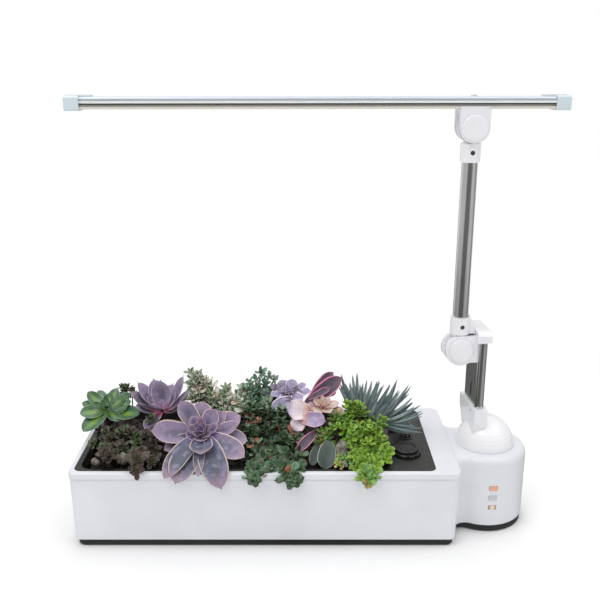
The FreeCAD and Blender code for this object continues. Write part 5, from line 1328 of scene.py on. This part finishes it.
                         # Tones of 0 to 0.04: filler leaves in painted shade, for the shade between
                         # the whorls
                         (332.0, 414.0, 386.0, 462.0, 78.0, 30.0, 44, 1.05, 0.0, 0.04))),
        Cluster("side_leaves", "blue_fingers", Slot.BLUE, middle=(345.0, 96.0, 84.0),
                skin=SEDUM_SKIN, leaf_count=7, length=7.0, width=4.4, seed=41, whorls=(
                    (398.0, 420.0, 104.0, 0.9, 0.3), (404.0, 418.0, 108.0, 0.9, 0.3),
                    (409.0, 421.0, 106.0, 0.8, 0.8), (401.0, 425.0, 100.0, 0.8, 0.9),
                    (396.0, 414.0, 108.0, 0.8, 0.3))),
        FingerFan("blue_finger_leaves", "blue_fingers", Slot.BLUE, skin=BLUE_SKIN, fingers=(
            (350.0, 410.0, 90.0, 341.0, 374.0, 112.0, -0.05),
            (352.0, 412.0, 86.0, 340.5, 389.0, 92.0, -0.06),
            (354.0, 411.0, 88.0, 350.0, 382.0, 104.0, -0.04),
            (357.0, 408.0, 92.0, 357.0, 372.5, 120.0, 0.03),
            (356.0, 412.0, 84.0, 345.0, 383.0, 108.0, -0.04),
            (358.0, 413.0, 86.0, 352.0, 387.0, 96.0, -0.03),
            (360.0, 414.0, 86.0, 367.0, 379.5, 110.0, 0.05),
            (361.0, 414.0, 84.0, 360.0, 384.0, 100.0, 0.03),
            (363.0, 415.0, 84.0, 372.0, 380.0, 116.0, 0.05),
            (364.0, 416.0, 82.0, 378.8, 380.5, 106.0, 0.06),
            (366.0, 416.0, 82.0, 381.5, 386.5, 98.0, 0.06),
            (362.0, 416.0, 80.0, 369.0, 391.0, 88.0, 0.04),
            (367.0, 418.0, 82.0, 390.5, 383.5, 102.0, 0.07),
            (368.0, 420.0, 80.0, 387.0, 393.0, 92.0, 0.08),
            (369.0, 421.0, 78.0, 392.0, 398.0, 84.0, 0.10),
            (366.0, 422.0, 74.0, 377.0, 400.0, 78.0, 0.08),
            (378.0, 416.0, 90.0, 397.5, 379.0, 120.0, 0.05),
            (382.0, 416.0, 88.0, 400.0, 391.0, 112.0, 0.06),
            (384.0, 417.0, 84.0, 411.0, 386.0, 108.0, 0.08),
            (385.0, 418.0, 82.0, 412.5, 397.3, 98.0, 0.10),
            (384.0, 421.0, 78.0, 420.8, 404.8, 88.0, 0.10),
            (385.0, 422.0, 74.0, 423.5, 412.5, 82.0, 0.14),
            (383.0, 424.0, 72.0, 422.5, 432.5, 66.0, 0.09),
            (374.0, 421.0, 78.0, 398.0, 402.0, 86.0, 0.08),
            (372.0, 423.0, 74.0, 385.0, 406.0, 78.0, 0.08),
            (366.0, 414.0, 92.0, 384.0, 384.5, 122.0, 0.03),
            (359.0, 409.0, 98.0, 363.0, 383.0, 124.0, 0.03),
            (374.0, 415.0, 94.0, 394.0, 389.0, 118.0, 0.05))),
        MediumBed("medium_bed", "growing_medium", Slot.MEDIUM),
        Stones("loose_stones", "stones", Slot.STONE, stones=(
            (95.5, 462.0, 26.0, 6.0, 4.0, 4.0), (123.0, 459.0, 26.0, 6.5, 5.5, 7.0),
            (341.5, 451.0, 34.0, 7.0, 8.0, 11.0), (343.0, 463.0, 20.0, 9.0, 4.0, 3.5))),
    ]


# Hard pieces


def dress(finishes: dict[str, Any]) -> None:
    """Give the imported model's nodes their finishes.

    Args:
        finishes: A finish for each name of a node.
    """
    for name, finish in finishes.items():
        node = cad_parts[name]
        material = finish.material()
        for place in node.material_slots:
            place.material = material
        LOG.info("%s: %s", name, material.name)


@dataclass
class Casing:
    """The planter, its base and the pump tower."""

    # The seam at 82 mm is a painted shadow line, a darker band standing in for the shade in the
    # seam
    white: Moulding = Moulding("white casing", paint(230, 232, 237), 0.32, coat=0.35, seam=0.082,
                               seam_end=0.155)
    base: Moulding = Moulding("black base", paint(44, 44, 46), 0.55, grain=0.0008, depth=0.00004)
    rubber: Moulding = Moulding("foot rubber", paint(34, 34, 34), 0.85, grain=0.0006, depth=0.00005)
    screw: BrushedMetal = BrushedMetal("screw", paint(150, 150, 152), 0.35)
    board: Moulding = Moulding("board", paint(30, 96, 58), 0.5)
    warm: Moulding = Moulding("warm button", paint(238, 176, 152), 0.35, coat=0.3)
    grey: Moulding = Moulding("grey button", paint(206, 204, 210), 0.35, coat=0.3)
    round_key: Glow = Glow("round button", paint(196, 190, 188), paint(255, 206, 150), 0.25)
    dark: Moulding = Moulding("dark fitting", paint(26, 26, 28), 0.45)

    def build(self) -> None:
        """Dress the casing's nodes."""
        dress({"trough_tub": self.white, "top_housing": self.white, "base_tray": self.base,
               "rubber_feet": self.rubber, "base_screws": self.screw, "board_screws": self.screw,
               "control_board": self.board, "light_button": self.warm,
               "timer_button": self.grey, "pump_button": self.round_key, "dc_inlet": self.dark})


@dataclass
class TrayFittings:
    """The dark tray with its cups, its port and its gauge, and the pump under it."""

    tray: Moulding = Moulding("tray gloss", paint(20, 21, 15), 0.28, coat=0.1, drift=0.12)
    black: Moulding = Moulding("black fitting", paint(22, 22, 24), 0.38, drift=0.1)
    pump: Moulding = Moulding("pump case", paint(30, 30, 33), 0.5)
    hose: Moulding = Moulding("hose", paint(208, 212, 214), 0.3)
    float_grey: Moulding = Moulding("float", paint(52, 54, 54), 0.4)
    wheel: Moulding = Moulding("pump wheel", paint(226, 226, 220), 0.4)

    def build(self) -> None:
        """Dress the tray's and the pump's nodes."""
        dress({"grow_tray": self.tray, "planting_cups": self.black,
               "fill_port_collar": self.black, "fill_cap": self.black, "level_tube": self.black,
               "level_float": self.float_grey, "pump_body": self.pump, "pump_cover": self.pump,
               "pump_impeller": self.wheel, "suction_feet": self.black,
               "pump_hose": self.hose})


@dataclass
class Lamp:
    """The turning dome, the mast, the arm and the light bar."""

    turn: float = math.radians(1.5)
    white: Moulding = Moulding("lamp white", paint(240, 240, 244), 0.26, coat=0.4)
    cap: Moulding = Moulding("end cap", paint(214, 226, 234), 0.3, coat=0.4)
    dome: Moulding = Moulding("dome white", paint(248, 248, 250), 0.3, coat=0.5, drift=0.02)
    steel: BrushedMetal = BrushedMetal("steel tube", paint(222, 222, 222), 0.17)
    screw: BrushedMetal = BrushedMetal("lamp screw", paint(150, 150, 154), 0.3)
    nut: BrushedMetal = BrushedMetal("bar screw", paint(236, 236, 238), 0.45, metal=0.2)
    strip: Glow = Glow("light strip", paint(250, 240, 214), paint(255, 238, 200), 0.8)
    cover: Glow = Glow("diffuser", paint(214, 210, 202), paint(255, 242, 220), 0.04)
    rail: Rail = field(init=False)

    def __post_init__(self) -> None:
        """Fit the rail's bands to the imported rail."""
        low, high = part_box("bar_channel")
        # Painted light in the stops: the near black from 0.24 to 0.34 is painted shadow in the
        # groove, the pure white from 0.38 to 0.60 a painted highlight, and the grey that pales and
        # blues towards the top a painted reflection
        self.rail = Rail("rail", low.z, high.z, (
            (0.0, paint(196, 190, 184)), (0.16, paint(188, 184, 180)), (0.24, paint(60, 60, 62)),
            (0.34, paint(56, 58, 60)), (0.38, paint(254, 255, 255)), (0.60, paint(254, 255, 255)),
            (0.66, paint(172, 182, 188)), (0.78, paint(190, 200, 208)),
            (1.0, paint(224, 232, 240))), self.turn, metal=0.15)

    def build(self) -> None:
        """Dress the lamp's nodes."""
        dress({"turret_dome": self.dome, "turret_keeper": self.white, "mast_holder": self.white,
               "mast_tube": self.steel, "holder_screw": self.screw, "mast_head": self.white,
               "lower_hinge_pin": self.screw, "lower_hinge_covers": self.white,
               "lower_collar": self.white, "lower_collar_screw": self.screw,
               "arm_tube": self.steel, "upper_collar": self.white,
               "upper_collar_screw": self.screw, "upper_fork": self.white,
               "upper_hinge_pin": self.screw, "upper_hinge_covers": self.white,
               "bar_channel": self.rail, "light_strip": self.strip, "diffuser": self.cover,
               "left_end_cap": self.cap, "right_end_cap": self.cap, "bar_screw": self.nut})


@dataclass
class Studio:
    """A pale floor, soft lamps and the camera."""

    reach: float = 6.0
    level: float = 0.66
    front: float = 0.13
    side: float = 0.46
    far: float = 0.95
    over: float = 0.5
    panel: float = 0.8
    lamps: tuple[tuple[float, ...], ...] = (
        (-0.7, -0.7, 1.9, 1.4, 13.0), (1.1, -0.3, 1.9, 1.4, 7.0), (0.0, 1.0, 1.9, 1.6, 9.0))

    def room(self, shader: Shader, way: Value, far: float, panel: float) -> Value:
        """The level that shining surfaces see: pale behind, middling at the sides, dark in front.

        Args:
            shader: The shader that it joins.
            way: The direction or the place that is seen.
            far: Level behind the object.
            panel: How much darker a panel right behind the object is.

        Returns:
            The level.
        """
        flat = shader.node("ShaderNodeVectorMath", {"operation": "NORMALIZE"}, {
            0: shader.node("ShaderNodeVectorMath", {"operation": "MULTIPLY"},
                           {0: way, 1: (1.0, 1.0, 0.0)})})
        right, back, _ = shader.parts(flat)
        dark_side = right.between(0.1, 0.6) * back.between(-0.3, 0.1) * back.between(0.55, 0.25)
        return (self.side + back.between(0.45, 0.85) * (far - self.side) - dark_side * 0.24
                - back.between(-0.7, -0.95) * (self.side - self.front)
                - back.between(0.9, 0.97) * panel)

    def floor(self) -> bpy.types.Object:
        """Make the floor: pale near the object, white to the camera and a room to what shines."""
        half = self.reach
        mesh = bpy.data.meshes.new("floor")
        mesh.from_pydata([(-half, -half, 0.0), (half, -half, 0.0), (half, half, 0.0),
                          (-half, half, 0.0)], [], [(0, 1, 2, 3)])
        shader = Shader("floor")
        cloud = shader.noise(0.2, 2.0)
        matt = shader.node("ShaderNodeBsdfDiffuse", {}, {
            "Color": shader.mix(cloud, paint(250, 250, 250), paint(253, 253, 253))})
        bright = shader.node("ShaderNodeEmission", {}, {"Color": (1.0, 1.0, 1.0), "Strength": 1.0})
        distance = shader.node("ShaderNodeVectorMath", {"operation": "LENGTH"},
                               {0: shader.place()}, 1)
        seen = shader.node("ShaderNodeLightPath", {}, {}, "Is Camera Ray")
        plain = shader.node("ShaderNodeMixShader", {}, {0: distance.between(0.34, 0.75) * seen,
                                                        1: matt, 2: bright})
        level = self.room(shader, shader.place(), self.far, self.panel)
        level = level * (distance.between(0.8, 1.5) * 0.5 + 0.9)
        room = shader.node("ShaderNodeEmission", {}, {
            "Color": shader.mix(level, (0.0, 0.0, 0.0), (1.0, 1.0, 1.0)), "Strength": 1.0})
        shine = shader.node("ShaderNodeLightPath", {}, {}, "Is Glossy Ray")
        shader.node_out(shader.node("ShaderNodeMixShader", {}, {0: shine, 1: plain, 2: room}))
        mesh.materials.append(shader.material)
        made = bpy.data.objects.new("floor", mesh)
        bpy.context.scene.collection.objects.link(made)
        return made

    def sky(self) -> None:
        """Make the world: white to the camera, a plain level for the light on the object.

        What shines sees a room with a pale ceiling.
        """
        bpy.context.scene.world = bpy.data.worlds.new("studio")
        shader = Shader("studio", bpy.context.scene.world)
        way = shader.node("ShaderNodeTexCoord", {}, {}, "Generated")
        height = shader.parts(way)[2]
        room = self.room(shader, way, self.over, 0.0) + height.between(0.4, 0.8) * 0.4
        shine = shader.node("ShaderNodeLightPath", {}, {}, "Is Glossy Ray")
        seen = shader.node("ShaderNodeLightPath", {}, {}, "Is Camera Ray")
        level = shine * (room - self.level) + self.level
        level = seen * (1.0 - level) + level
        background = shader.node("ShaderNodeBackground", {}, {"Color": (1.0, 1.0, 1.0),
                                                              "Strength": level})
        shader.node_out(background, "ShaderNodeOutputWorld")
        bpy.context.scene.world.cycles.sampling_method = "NONE"

    def light(self) -> None:
        """Make the soft lamps, each aimed at the planter's middle."""
        scene = bpy.context.scene
        for number, (x, y, z, size, power) in enumerate(self.lamps):
            data = bpy.data.lights.new(f"lamp_{number}", "AREA")
            data.size = size
            data.energy = power
            made = bpy.data.objects.new(f"lamp_{number}", data)
            made.location = (x, y, z)
            aim = -np.array((x, y, z - 0.15))
            made.rotation_euler = (math.atan2(math.hypot(aim[0], aim[1]), -aim[2]), 0.0,
                                   math.atan2(-aim[0], aim[1]))
            scene.collection.objects.link(made)

    def build(self) -> None:
        """Make the floor, the light and the camera."""
        self.floor()
        self.sky()
        self.light()
        VIEW.camera()
        bpy.context.scene.view_settings.view_transform = "Standard"


def main() -> None:
    """Build the whole scene."""
    logging.basicConfig(level=logging.INFO, format="%(name)s: %(message)s")
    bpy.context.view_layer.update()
    Casing().build()
    TrayFittings().build()
    Lamp().build()
    for plant in plants():
        plant.build()
    Studio().build()


if __name__ == "__main__":
    main()
